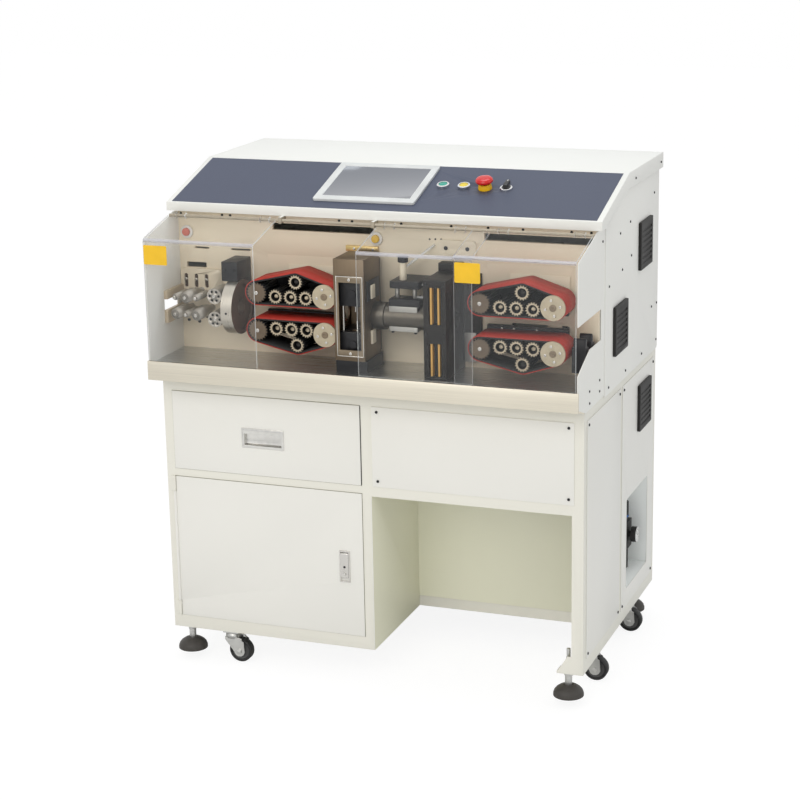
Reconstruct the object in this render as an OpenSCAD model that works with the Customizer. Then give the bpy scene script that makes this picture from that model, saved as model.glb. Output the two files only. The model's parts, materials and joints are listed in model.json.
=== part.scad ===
// Wire cutting and stripping machine on a wheeled stand.
// Millimetres. x runs right along the wire, y runs to the back, z runs up from the floor.

/* [Stand] */
// Width over the side panels
stand_w = 1125; // [1000:5:1300]
// Depth from the frame front to the back panel
stand_d = 720; // [680:5:850]
// Height from the frame underside to the stand top
stand_h = 674; // [600:2:760]
// Square frame tube
tube = 30; // [25:1:36]
// Height of the bottom rails
low_rail = 40; // [32:1:50]
// Thickness of the panels
sheet = 2; // [1.5:0.1:3]
// Width of the cabinet at the left
cabinet_w = 570; // [500:5:620]
// Depth of the cabinet and the kneehole
cabinet_d = 337; // [310:1:370]
// Clear height of the drawer opening
drawer_open = 200; // [150:2:240]
// Lap of the drawer front, door and front panel over the frame
front_lap = 5; // [3:0.5:8]
// Running gap behind the drawer front and the door
front_gap = 0.5; // [0.3:0.1:1]
// Window in the right rear panel, along y
window_w = 225; // [150:5:250]
// Window in the right rear panel, height
window_h = 248; // [150:2:300]
// Height of the window above the frame underside
window_up = 82; // [60:2:140]

/* [Drawer, door and lock] */
// Wall of the drawer box
drawer_wall = 2; // [1.5:0.1:3]
// Gap between the drawer box and the frame tubes
drawer_side_gap = 13; // [12:0.5:20]
// Height of the drawer box
drawer_box_h = 150; // [100:2:180]
// Depth of the drawer box
drawer_box_d = 300; // [240:2:305]
// Opening of the recessed pull, width
pull_w = 107; // [80:1:140]
// Opening of the recessed pull, height
pull_h = 42; // [30:1:60]
// Depth of the pull behind the drawer front
pull_d = 16; // [10:1:24]
// Radius of the door hinge pin
hinge_pin_r = 2; // [1.5:0.1:3]
// Radius of the door hinge knuckle
hinge_knuckle_r = 3.6; // [3.2:0.1:5]
// Width of the lock plate
lock_w = 28; // [20:1:36]
// Height of the lock plate
lock_h = 84; // [60:1:100]

/* [Castors and feet] */
// Height of a castor, floor to frame
castor_h = 86; // [80:1:110]
// Radius of a castor wheel
wheel_r = 31.5; // [25:0.5:33]
// Width of a castor wheel
wheel_w = 24; // [18:1:30]
// Distance from the swivel axis to the wheel axle
trail = 22; // [16:1:28]
// Radius of the wheel axle
axle_r = 4; // [3:0.5:5]
// Distance of the left castors from the left side
castor_in = 162; // [100:2:240]
// Radius of a levelling pad
pad_r = 38; // [30:1:45]
// Height of a raised pad above the floor
pad_up = 24; // [10:1:30]
// Radius of the threaded stem of a foot
stem_r = 6; // [5:0.5:8]

/* [Upper body] */
// Width over the side plates
body_w = 1130; // [1010:5:1310]
// Thickness of the side plates and of the front wings
plate_sheet = 2.5; // [2:0.1:3]
// Overhang of the tray in front of the stand
tray_out = 71; // [50:1:90]
// Height of the tray apron
apron_h = 49; // [36:1:60]
// Height of the apron bottom above the stand top
apron_up = 19; // [12:1:30]
// Depth of the tray floor below the apron top
tray_dip = 8; // [4:0.5:14]
// Distance from the stand front to the main plate
plate_y = 130; // [126:1:150]
// Thickness of the main plate
plate_t = 10; // [8:0.5:16]
// Height of the wire path above the stand top
wire_up = 193; // [180:1:210]
// Height of the hood lip above the stand top
lip_up = 425; // [400:1:460]
// Distance from the stand front to the hood lip
lip_y = 96; // [90:1:110]
// Height of the hood lip
lip_h = 22; // [16:1:30]
// Depth of the sloped panel, seen from above
slope_run = 262; // [240:1:300]
// Rise of the sloped panel
slope_rise = 78; // [60:1:100]
// Overhang of the hood past each side plate
hood_over = 10; // [6:0.5:16]
// Depth of the hood side flange
flange_h = 40; // [25:1:50]
// Height of the wire notch in the right wing
notch_h = 75; // [60:1:90]
// Size of a fan guard
guard_w = 125; // [110:1:135]
// Thickness of a fan guard
guard_t = 8; // [5:0.5:9]

/* [Covers] */
// Thickness of the clear covers
cover_t = 5; // [4:0.5:6]
// Height of the cover knee above the stand top
knee_up = 377; // [350:1:400]
// Right edge of the left cover
left_cover_end = -260; // [-300:1:-240]
// Left edge of the middle cover
middle_cover_start = 9; // [0:1:30]
// Right edge of the middle cover
middle_cover_end = 302; // [290:1:320]
// Left edge of the right cover
right_cover_start = 259; // [240:1:280]
// Radius of the cover hinge rod
rod_r = 4; // [3:0.5:5]
// Radius of the cover knuckles
cover_knuckle_r = 8; // [6.5:0.5:9]

/* [Control panel] */
// Width of the touch screen
screen_w = 271; // [200:1:300]
// Height of the touch screen
screen_h = 213; // [160:1:216]
// Thickness of the screen bezel on the panel
screen_t = 7; // [4:0.5:10]
// Left edge of the touch screen
screen_x = -185; // [-260:1:-150]
// Start of the screen along the slope
screen_at = 41; // [20:1:48]
// Thickness of the dark overlay
overlay_t = 1; // [0.6:0.1:2]
// Position of the buttons along the slope
button_at = 150; // [100:1:180]
// Position of the green button
start_x = 127; // [120:1:140]
// Spacing of the buttons
button_pitch = 55; // [50:1:62]
// Radius of a button cap
button_r = 11; // [9:0.5:12]
// Radius of a button bezel
bezel_r = 15.5; // [14:0.5:18]
// Height of a button bezel
bezel_h = 6; // [4:0.5:8]
// Travel of the push buttons
button_travel = 3; // [2:0.5:4]
// Radius of the emergency stop head
stop_r = 22; // [18:0.5:24]

/* [Belt feeders] */
// Half the distance between drive and tail pulley
pulley_half = 92; // [84:1:100]
// Centre of the left feeder
left_feed_x = -204; // [-210:1:-198]
// Centre of the right feeder
right_feed_x = 385; // [380:1:388]
// Radius of the drive and tail pulleys
pulley_r = 25.2; // [22:0.2:27]
// Radius of the idlers
idler_r = 18; // [14:0.5:19]
// Spacing of the lower idlers
idler_pitch = 41; // [39:0.5:42]
// Shift of the apex idler from the feeder centre
apex_x = 14.5; // [0:0.5:20]
// Height of the apex idler above the belt run
apex_up = 57.5; // [50:0.5:62]
// Thickness of the belt
belt_t = 7; // [5:0.5:8]
// Width of the belt
belt_w = 85; // [60:1:90]
// Gap between the belt and the carrier behind it
belt_back_gap = 3; // [1:0.5:6]
// Half the wire gap of the left feeder
left_gap = 16; // [14:0.5:20]
// Half the wire gap of the right feeder
right_gap = 24; // [20:0.5:26]
// Radius of the drive flange
drive_flange_r = 31; // [29:0.5:33]
// Radius of the pulley shafts
shaft_r = 8; // [6:0.5:10]
// Radius of the slide rods
slide_rod_r = 8; // [6:0.5:9]
// Distance of the slide rods from the feeder centre
slide_rod_x = 55; // [50:1:58]
// Upward travel of a feeder
feeder_up = 18; // [10:1:20]
// Closing travel of a feeder
feeder_down = 12; // [8:1:13]

/* [Blade head] */
// Left side of the blade head
head_x = -75; // [-80:1:-72]
// Width of the blade head
head_w = 80; // [76:1:84]
// Depth of the blade head
head_d = 108; // [100:1:112]
// Front of the blade head
head_y = -8; // [-14:1:-2]
// Height of the black base
head_base = 30; // [20:1:36]
// Height of the stainless box
head_h = 255; // [240:1:270]
// Wall of the stainless box
head_wall = 3; // [2:0.5:4]
// Width of the front window
head_window_w = 57; // [40:1:60]
// Height of the front window
head_window_h = 170; // [140:1:180]
// Radius of the blade guide posts
post_r = 4; // [3:0.5:5]
// Half the opening between the blades at rest
blade_open = 17; // [15:0.5:22]
// Closing travel of each blade
blade_travel = 14; // [8:0.5:14]

/* [Guides and rollers] */
// Radius of the guide tube
guide_r = 30; // [26:0.5:32]
// Radius of its collar
collar_r = 34.5; // [33:0.5:37]
// Bore radius of the guide tube
guide_bore_r = 22; // [18:0.5:24]
// Left face of the guide ring
ring_x = -393; // [-396:1:-390]
// Radius of the guide ring
ring_r = 78; // [70:1:80]
// Thickness of the guide ring
ring_t = 37; // [28:1:40]
// Position of the measuring rollers
measure_x = -418; // [-420:1:-416]
// Radius of the measuring rollers
measure_r = 20; // [16:0.5:21]
// Gap between the measuring rollers
measure_gap = 20; // [16:0.5:26]
// Radius of the large straightening rollers
big_roller_r = 15; // [12:0.5:15]
// Radius of the small straightening rollers
small_roller_r = 8.5; // [7:0.5:9]
// Half the distance between the two roller rows
roller_row = 22; // [21.5:0.5:26]
// Position of the straightening rollers
roller_x = -499; // [-501:1:-497]
// Front of the straightening rollers
roller_front = 30; // [20:1:40]
// Spacing of the straightening rollers
roller_pitch = 29; // [28:0.5:31]
// Width of the gantry
gantry_w = 58; // [50:1:64]
// Left side of the gantry
gantry_x = 160; // [158:1:170]
// Front of the gantry
gantry_y = -13; // [-20:1:-4]
// Height of the gantry above the tray floor
gantry_h = 246; // [220:1:260]

/* [Clearances] */
// Radial clearance of running fits
fit = 0.05; // [0.02:0.01:0.08]
// Clearance between sliding or seated neighbours
slip = 0.3; // [0.25:0.05:0.5]
// Clearance of a piece in a cut-out
loose = 1; // [0.6:0.1:2]

/* [Hidden] */
$fn = 64;
eps = 0.01;
fx = stand_w / 2 - sheet;
frame_back = stand_d - sheet;
stand_top = castor_h + stand_h;
mid_rail_top = stand_top - tube - drawer_open;
mid_rail_bottom = mid_rail_top - tube;
low_top = castor_h + low_rail;
cab_x = cabinet_w - stand_w / 2;
cab_in = cab_x - tube;
left_in = tube - fx;
right_in = fx - tube;
front_face = -front_gap - sheet;
foot_x = right_in - stem_r - 6;
foot_front = tube / 2 + 3;
foot_back = frame_back - tube - 45;
castor_plate = 4;
castor_seat = 46;
castor_left_x = castor_in - stand_w / 2;
castor_right_x = right_in - 9;
castor_front = tube / 2 + 9;
castor_rear = frame_back - tube / 2 - 9;
castor_right_front = cabinet_d / 2 + 22;
castor_right_rear = stand_d - 175;
castors = [
    [castor_left_x, castor_front],
    [castor_right_x, castor_right_front],
    [castor_left_x, castor_rear],
    [castor_right_x, castor_right_rear]
];
axle_z = wheel_r;
fork_gap = wheel_w / 2 + 1.5;
fork_t = 3;
inner_x = body_w / 2 - 2 * plate_sheet;
tray_bottom = stand_top + apron_up;
tray_top = tray_bottom + apron_h;
tray_floor = tray_top - tray_dip;
tray_front = -tray_out;
plate_back = plate_y + plate_t;
wire_z = stand_top + wire_up;
belt_front = plate_y - 23 - belt_w;
belt_back = plate_y - 23;
wire_y = belt_front + belt_w / 2;
lip_z = stand_top + lip_up;
slope_z = lip_z + lip_h;
slope_a = atan2(slope_rise, slope_run);
slope_y = lip_y + slope_run;
hood_top = slope_z + slope_rise;
hood_rear = stand_d - 5;
hood_half = body_w / 2 + hood_over;
slope_len = norm([slope_run, slope_rise]);
under_top = hood_top - sheet;
back_sheet_y = hood_rear - sheet - plate_sheet;
cover_gap = 1;
cover_pitch = cover_t + cover_gap;
cover_front = tray_front - 3;
rod_y = lip_y - 14;
rod_z = lip_z - cover_knuckle_r - 1;
knee_z = stand_top + knee_up;
cover_half = inner_x - 1;
centre_y = (cover_front + stand_d) / 2;
guard_x = body_w / 2;
estop_x = start_x + 2 * button_pitch;
selector_x = start_x + 3 * button_pitch;
stop_x = start_x + button_pitch;
button_stem_r = 6;
panel_hole_r = 9;
head_z = tray_floor + head_base;
head_back = head_y + head_d;
head_mid = head_x + head_w / 2;
window_x = head_mid - head_window_w / 2 + 2.5;
window_mid_z = head_z + head_h / 2 - 15;
holder_in = head_wall + 4;
post_x1 = head_x + head_wall + 10;
post_x2 = head_x + head_w - head_wall - 10;
post_y = head_y + head_wall + 25;
run_left = left_gap + belt_t;
run_right = right_gap + belt_t;
carrier_y = belt_back + belt_back_gap;
carrier_t = 14;
slide_y = plate_back + 28;
open_half = pulley_half + shaft_r + 6;
guide_start = head_x + head_w;
hinge_x = left_in - front_lap - hinge_knuckle_r;
hinge_y = -hinge_knuckle_r - front_gap;
door_bottom = low_top - front_lap;
door_top = mid_rail_bottom + front_lap;
knuckle_end = 40;
drawer_left = left_in - front_lap;
drawer_right = cab_in + front_lap;
drawer_low = mid_rail_top - front_lap + 2;
drawer_high = stand_top - tube + front_lap;
pull_x = (drawer_left + drawer_right) / 2 - pull_w / 2 - 7;
pull_z = mid_rail_top + drawer_open / 2 - pull_h / 2 - 4;
box_left = left_in + drawer_side_gap;
box_right = cab_in - drawer_side_gap;
box_low = mid_rail_top + 15 + slip;
door_left = hinge_x + hinge_knuckle_r;
door_right = cab_in + front_lap + 1;
lock_x = door_right - 36 - lock_w;
lock_z = (door_top + door_bottom) / 2 - lock_h / 2 - 6;
paddle_z = lock_z + lock_h - 8;
wing_back = plate_back + 60;
wing_edge = plate_back + 32;
wing_front = tray_front + 6 + slip;
stop_collar_h = 13;
stop_stem_r = 10;
saddle_x = guide_start + 46;
saddle_w = 74;
open_near = run_left + pulley_r - shaft_r - feeder_down - 15;
open_far = apex_up + idler_r + belt_t + feeder_up;

module placed() {
    translate([0, -centre_y, 0]) children();
}

// A block between two opposite corners.
module box(a, b) {
    translate(a) cube(b - a);
}

// A cylinder along y from y0 to y1.
module rod_y_at(x, z, r, y0, y1) {
    translate([x, y0, z]) rotate([-90, 0, 0]) cylinder(r = r, h = y1 - y0);
}

// A cylinder along x from x0 to x1.
module rod_x_at(y, z, r, x0, x1) {
    translate([x0, y, z]) rotate([0, 90, 0]) cylinder(r = r, h = x1 - x0);
}

// A flat profile in y and z, drawn along x from x0 to x1.
module profile_x(x0, x1, points) {
    translate([x0, 0, 0]) rotate([90, 0, 90]) linear_extrude(height = x1 - x0) polygon(points);
}

// Places children on the sloped panel: x across, t up the slope, local z out of the overlay.
module on_slope(x, t) {
    translate([x, lip_y, slope_z]) rotate([slope_a, 0, 0]) translate([0, t, overlay_t]) children();
}

// A rectangle with round corners.
module round_rect(w, h, r) {
    translate([r, 0]) square([w - 2 * r, h]);
    translate([0, r]) square([w, h - 2 * r]);
    for (x = [r, w - r]) for (y = [r, h - r]) translate([x, y]) circle(r = r, $fn = 32);
}

// The outline of a toothed pulley.
module toothed(r, count, depth) {
    step = 360 / count;
    polygon([for (i = [0 : count - 1]) for (k = [[0, 0], [0.3, 0], [0.42, 1], [0.88, 1]])
        [(r - k[1] * depth) * cos((i + k[0]) * step), (r - k[1] * depth) * sin((i + k[0]) * step)]]);
}

// Stand.

module foot_bracket(x, y) {
    difference() {
        union() {
            box([x - 26, y - 18, castor_h], [right_in + 1, y + 18, castor_h + 6]);
            translate([right_in + 1, y - 14, castor_h]) rotate([90, 0, 0]) linear_extrude(height = 4)
                polygon([[0, 0], [-36, 0], [-36, 6], [-12, 46], [0, 46]]);
        }
        translate([x, y, castor_h - 1]) cylinder(r = stem_r + 0.5, h = 8);
    }
}

module stand_frame() {
    placed() color("#dcdad2") difference() {
        union() {
            for (x = [-fx, right_in]) for (y = [0, cabinet_d, frame_back - tube])
                box([x, y, castor_h], [x + tube, y + tube, stand_top]);
            for (y = [0, cabinet_d]) box([cab_in, y, castor_h], [cab_x, y + tube, stand_top]);
            for (y = [0, cabinet_d, frame_back - tube])
                box([-fx, y, stand_top - tube], [fx, y + tube, stand_top]);
            for (x = [-fx, right_in]) {
                box([x, 0, stand_top - tube], [x + tube, frame_back, stand_top]);
                box([x, 0, castor_h], [x + tube, frame_back, low_top]);
            }
            box([-fx, 0, mid_rail_bottom], [fx, tube, mid_rail_top]);
            box([-fx, 0, castor_h], [cab_x, tube, low_top]);
            box([cab_in, 0, castor_h], [cab_x, cabinet_d + tube, low_top]);
            for (y = [cabinet_d, frame_back - tube]) box([-fx, y, castor_h], [fx, y + tube, low_top]);
            drawer_runners();
            for (y = [castor_right_front, castor_right_rear])
                box([castor_right_x - 24, y - 34, castor_h], [right_in + 1, y + 34, castor_h + castor_plate]);
            foot_bracket(foot_x, foot_front);
            foot_bracket(foot_x, foot_back);
            mirror([1, 0, 0]) foot_bracket(foot_x, foot_back);
            door_hinge_fixed();
        }
        translate([-foot_x, foot_front, castor_h - 1]) cylinder(r = stem_r + 0.5, h = low_rail + 2);
    }
}

// Runners that carry the drawer, fixed between the front and middle posts.
module drawer_runners() {
    z = mid_rail_top + 12;
    box([left_in - 1, 2, z], [left_in + drawer_side_gap + 8, cabinet_d + tube, z + 3]);
    box([cab_in - drawer_side_gap - 8, 2, z], [cab_in + 1, cabinet_d + tube, z + 3]);
}

module door_hinge_fixed() {
    translate([hinge_x, hinge_y, door_bottom]) cylinder(r = hinge_pin_r, h = door_top - door_bottom);
    for (z = [door_bottom, door_top - knuckle_end]) {
        translate([hinge_x, hinge_y, z]) cylinder(r = hinge_knuckle_r, h = knuckle_end);
        box([hinge_x - 12, hinge_y + 1, z], [hinge_x, 0, z + knuckle_end]);
    }
}

module side_panel(y0, y1) {
    box([fx, y0 - front_lap, low_top - front_lap], [fx + sheet, y1 + front_lap, stand_top - tube + front_lap]);
}

module stand_panels() {
    z0 = castor_h + window_up;
    wy = cabinet_d + tube + 46;
    placed() color("#e6e4dc") {
        side_panel(tube, cabinet_d);
        difference() {
            side_panel(cabinet_d + tube, frame_back - tube);
            translate([fx - 1, wy, z0]) rotate([90, 0, 90]) linear_extrude(height = sheet + 2)
                round_rect(window_w, window_h, 8);
        }
        mirror([1, 0, 0]) side_panel(tube, cabinet_d);
        mirror([1, 0, 0]) side_panel(cabinet_d + tube, frame_back - tube);
        box([-fx + 6, frame_back, castor_h + 6], [fx - 6, stand_d, stand_top - 5]);
        box([cab_x + 6, -sheet, mid_rail_top - 3], [right_in + front_lap + 1, 0, stand_top - tube + front_lap]);
        box([cab_x, 0, castor_h], [cab_x + sheet, cabinet_d - sheet, mid_rail_bottom]);
        box([cab_x + sheet, cabinet_d - sheet, low_top - 10], [right_in, cabinet_d, mid_rail_bottom]);
        box([cab_x + sheet, tube, mid_rail_bottom], [right_in, cabinet_d, mid_rail_bottom + sheet]);
        box([left_in, cabinet_d - sheet, low_top - 10], [cab_in, cabinet_d, mid_rail_top + 10]);
        box([left_in, 8, low_top], [cab_in, cabinet_d - sheet, low_top + sheet]);
        box([cab_in - sheet, tube, low_top + sheet], [cab_in, cabinet_d - sheet, mid_rail_bottom]);
    }
}

module levelling_foot(x, y) {
    translate([x, y, 0]) {
        translate([0, 0, pad_up]) cylinder(r = pad_r, h = 8);
        translate([0, 0, pad_up + 8 - eps]) cylinder(r1 = pad_r - 5, r2 = stem_r + 5, h = 12);
        translate([0, 0, pad_up + 10]) cylinder(r = stem_r, h = castor_h + low_rail - 1 - pad_up - 10);
        translate([0, 0, castor_h - 9]) cylinder(r = stem_r + 6, h = 9, $fn = 6);
    }
}

module floor_fittings() {
    placed() color("#55585c") {
        for (s = [-1, 1]) for (y = [foot_front, foot_back]) levelling_foot(s * foot_x, y);
        for (c = castors) translate([c[0], c[1], castor_h - castor_plate]) difference() {
            translate([-castor_seat / 2, -castor_seat / 2, 0]) linear_extrude(height = castor_plate)
                round_rect(castor_seat, castor_seat, 5);
            translate([0, 0, -1]) cylinder(r = 5 + fit, h = castor_plate + 2);
        }
    }
}

// Castors. The fork turns about its king pin in the plate, the wheel about its axle.

module castor_fork(c) {
    top = castor_h - castor_plate - slip;
    crown = 2 * wheel_r + 3;
    placed() color("#b9bcc0") translate([c[0], c[1], 0]) {
        translate([0, 0, top - eps]) cylinder(r = 5, h = castor_plate + slip - 0.5);
        translate([0, 0, crown]) cylinder(r = 21, h = top - crown);
        for (s = [-1, 1]) translate([0, s * (fork_gap + fork_t / 2) + fork_t / 2, 0]) rotate([90, 0, 0])
            linear_extrude(height = fork_t)
                polygon([[-18, crown + 3], [-18, crown], [trail - 9, axle_z - 4], [trail - 5, axle_z - 9],
                    [trail + 5, axle_z - 9], [trail + 9, axle_z - 4], [trail + 6, crown], [18, crown + 3]]);
        translate([-18, -fork_gap - fork_t, crown]) cube([36, 2 * (fork_gap + fork_t), 3]);
        rod_y_at(trail, axle_z, axle_r, -fork_gap - fork_t - 3, fork_gap + fork_t + 3);
    }
}

module castor_wheel(c) {
    placed() color("#26272a") translate([c[0] + trail, c[1], axle_z]) difference() {
        union() {
            rotate([90, 0, 0]) rotate_extrude() polygon([[axle_r + fit, -wheel_w / 2 - 1], [11, -wheel_w / 2 - 1],
                [12, -wheel_w / 2 + 3], [wheel_r - 8, -wheel_w / 2 + 3], [wheel_r - 6, -wheel_w / 2],
                [wheel_r - 2, -wheel_w / 2], [wheel_r, -wheel_w / 2 + 3], [wheel_r, wheel_w / 2 - 3],
                [wheel_r - 2, wheel_w / 2], [wheel_r - 6, wheel_w / 2], [wheel_r - 8, wheel_w / 2 - 3],
                [12, wheel_w / 2 - 3], [11, wheel_w / 2 + 1], [axle_r + fit, wheel_w / 2 + 1]]);
        }
    }
}

// Drawer, door and lock.

module drawer_box() {
    placed() color("#e6e4dc") difference() {
        union() {
            box([drawer_left, front_face, drawer_low], [drawer_right, -front_gap, drawer_high]);
            difference() {
                box([box_left, -front_gap - eps, box_low], [box_right, drawer_box_d, box_low + drawer_box_h]);
                box([box_left + drawer_wall, drawer_wall, box_low + drawer_wall],
                    [box_right - drawer_wall, drawer_box_d - drawer_wall, box_low + drawer_box_h + 1]);
            }
        }
        box([pull_x, front_face - 1, pull_z], [pull_x + pull_w, drawer_wall + 1, pull_z + pull_h]);
    }
}

module drawer_pull() {
    placed() color("#c4c7ca") difference() {
        union() {
            box([pull_x - 5, front_face - 1.5, pull_z - 5], [pull_x + pull_w + 5, front_face, pull_z + pull_h + 5]);
            box([pull_x + slip, front_face - eps, pull_z + slip],
                [pull_x + pull_w - slip, pull_d, pull_z + pull_h - slip]);
        }
        box([pull_x + 2, front_face - 3, pull_z + 2], [pull_x + pull_w - 2, pull_d - 2, pull_z + pull_h - 10]);
        box([pull_x + 2, front_face + 2.5, pull_z + 2], [pull_x + pull_w - 2, pull_d - 2, pull_z + pull_h - 2]);
    }
}

module cabinet_door() {
    knuckle_low = door_bottom + knuckle_end + 1;
    knuckle_high = door_top - knuckle_end - 1;
    placed() color("#e6e4dc") difference() {
        union() {
            box([door_left + slip, front_face, door_bottom], [door_right, -front_gap, door_top]);
            difference() {
                box([left_in + 4, -front_gap - eps, low_top + sheet + 3],
                    [cab_in - sheet - 4, 14, mid_rail_bottom - 3]);
                box([left_in + 6, -front_gap - 1, low_top + sheet + 5],
                    [cab_in - sheet - 6, 20, mid_rail_bottom - 5]);
            }
            translate([hinge_x, hinge_y, knuckle_low])
                cylinder(r = hinge_knuckle_r, h = knuckle_high - knuckle_low);
            box([hinge_x, front_face, knuckle_low], [door_left + 1, -front_gap, knuckle_high]);
            box([lock_x, front_face - 4, lock_z], [lock_x + lock_w, front_face + eps, lock_z + lock_h]);
            box([lock_x + 3, -front_gap - eps, lock_z + 14], [lock_x + lock_w - 3, 18, lock_z + lock_h - 14]);
        }
        translate([hinge_x, hinge_y, knuckle_low - 1])
            cylinder(r = hinge_pin_r + fit, h = knuckle_high - knuckle_low + 2);
        box([lock_x + 3, front_face - 5, lock_z + 3],
            [lock_x + lock_w - 3, front_face - 4 + 5, lock_z + lock_h - 3]);
    }
}

module lock_paddle() {
    y0 = front_face - 5;
    placed() color("#b9bcc0") difference() {
        union() {
            box([lock_x + 3 + slip, y0, lock_z + 12], [lock_x + lock_w - 3 - slip, y0 + 4, paddle_z]);
            rod_x_at(y0 + 2, paddle_z, 2, lock_x + 3 + slip, lock_x + lock_w - 3 - slip);
        }
        rod_y_at(lock_x + lock_w / 2, lock_z + 22, 4, y0 - 1, y0 + 1.5);
    }
}

// Upper body.

module steel_tray() {
    t = sheet;
    placed() color("#b9bcbe") {
        profile_x(-inner_x, inner_x, [[tray_front, tray_bottom], [tray_front, tray_top], [tray_front + 6, tray_top],
            [tray_front + 6, tray_top - t], [tray_front + t, tray_top - t], [tray_front + t, tray_floor],
            [plate_y, tray_floor], [plate_y, stand_top], [plate_y - t, stand_top], [plate_y - t, tray_floor - t],
            [tray_front + t, tray_floor - t], [tray_front + t, tray_bottom + t], [t, tray_bottom + t],
            [t, stand_top], [0, stand_top], [0, tray_bottom]]);
        for (s = [-1, 1]) box([s > 0 ? inner_x - eps : -body_w / 2, tray_front, tray_bottom],
            [s > 0 ? body_w / 2 : -inner_x + eps, tray_front + 6, tray_top]);
    }
}

module feeder_opening(x, z0, z1) {
    translate([x - open_half, plate_back + 1, z0]) rotate([90, 0, 0])
        linear_extrude(height = plate_t + 2) round_rect(2 * open_half, z1 - z0, 12);
}

module plate_slot(x0, x1, z0, z1) {
    box([x0, plate_y - 1, z0], [x1, plate_back + 1, z1]);
}

module main_plate() {
    gap_low = lip_z - 43;
    placed() color("#d8ceb8") {
        difference() {
            box([-inner_x, plate_y, stand_top], [inner_x, plate_back, lip_z]);
            for (f = [[left_feed_x, run_left], [right_feed_x, run_right]]) {
                feeder_opening(f[0], wire_z + open_near, wire_z + f[1] + open_far);
                feeder_opening(f[0], wire_z - f[1] - open_far, wire_z - open_near);
            }
            plate_slot(-295, -20, gap_low, gap_low + 18);
            plate_slot(270, inner_x - 14, gap_low, gap_low + 18);
            plate_slot(-516, -476, lip_z - 102, lip_z - 97);
            plate_slot(-413, -359, lip_z - 102, lip_z - 97);
            plate_slot(-541, -485, wire_z + 80, wire_z + 94);
            plate_slot(ring_x - 4, ring_x + ring_t + 4, wire_z - 54, wire_z + 54);
            for (z = [measure_r + measure_gap / 2, -measure_r - measure_gap / 2])
                rod_y_at(measure_x, wire_z + z, 6 + fit, plate_y - 1, plate_back + 1);
        }
        difference() {
            translate([gantry_x - 10, plate_y + eps, lip_z - 88]) rotate([90, 0, 0])
                linear_extrude(height = 6) round_rect(100, 42, 10);
            for (x = [gantry_x + 12, gantry_x + 68]) rod_y_at(x, lip_z - 66, 5, plate_y - 7, plate_y - 2);
        }
        for (f = [left_feed_x, right_feed_x]) slide_rods(f);
    }
}

// Upright rods behind the main plate, on which the belt carriers slide.
module slide_rods(x) {
    z0 = tray_floor - 12;
    z1 = lip_z - 64;
    for (z = [z0, z1]) box([x - slide_rod_x - 16, plate_back - eps, z],
        [x + slide_rod_x + 16, slide_y + slide_rod_r + 6, z + 16]);
    for (s = [-1, 1]) translate([x + s * slide_rod_x, slide_y, z0 + 8]) cylinder(r = slide_rod_r, h = z1 - z0);
}

function under_slope(y) = slope_z + (y - lip_y) * slope_rise / slope_run - sheet / cos(slope_a);
function cover_mid(y) = knee_z + (y - cover_front) * (rod_z - knee_z) / (rod_y - cover_front);

module wing(x0, x1, open) {
    z1 = wire_z + notch_h / 2 - 5;
    z0 = wire_z - notch_h / 2 - 7;
    difference() {
        profile_x(x0, x1, [[wing_front, cover_mid(wing_front) - 2], [rod_y - 20, cover_mid(rod_y - 20) - 2],
            [lip_y + 4, lip_z - 4], [wing_back, lip_z - 4], [wing_back, stand_top], [4, stand_top],
            [wing_front, tray_bottom + 6]]);
        if (open) profile_x(x0 - 1, x1 + 1, [[wing_front - 1, z1], [plate_y + 12, z1], [plate_y + 12, z0],
            [42, z0], [wing_front - 1, z0 - 42]]);
        if (!open) profile_x(x0 - 1, x1 + 1, [[wire_y - 34, z0], [wire_y - 34, z1], [wire_y + 40, z1],
            [wire_y + 40, z0]]);
    }
}

module side_sheet(x0, x1) {
    profile_x(x0, x1, [[wing_edge, stand_top - 4], [wing_edge, under_slope(wing_edge)],
        [slope_y + (sheet / cos(slope_a) - sheet) * slope_run / slope_rise, under_top], [back_sheet_y, under_top],
        [back_sheet_y, stand_top - 4]]);
}

module body_panels() {
    x1 = body_w / 2 - plate_sheet;
    placed() color("#eceae4") {
        wing(inner_x, x1, true);
        side_sheet(x1, body_w / 2);
        wing(-x1, -inner_x, false);
        side_sheet(-body_w / 2, -x1);
        box([-body_w / 2, back_sheet_y, stand_top], [body_w / 2, back_sheet_y + plate_sheet, under_top]);
    }
}

module panel_cuts(depth) {
    on_slope(screen_x + 10 - loose, screen_at + 10 - loose) translate([0, 0, -depth])
        cube([screen_w - 20 + 2 * loose, screen_h - 20 + 2 * loose, depth + 2]);
    for (x = [start_x, stop_x, estop_x, selector_x])
        on_slope(x, button_at) translate([0, 0, -depth]) cylinder(r = panel_hole_r, h = depth + 2);
}

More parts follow.
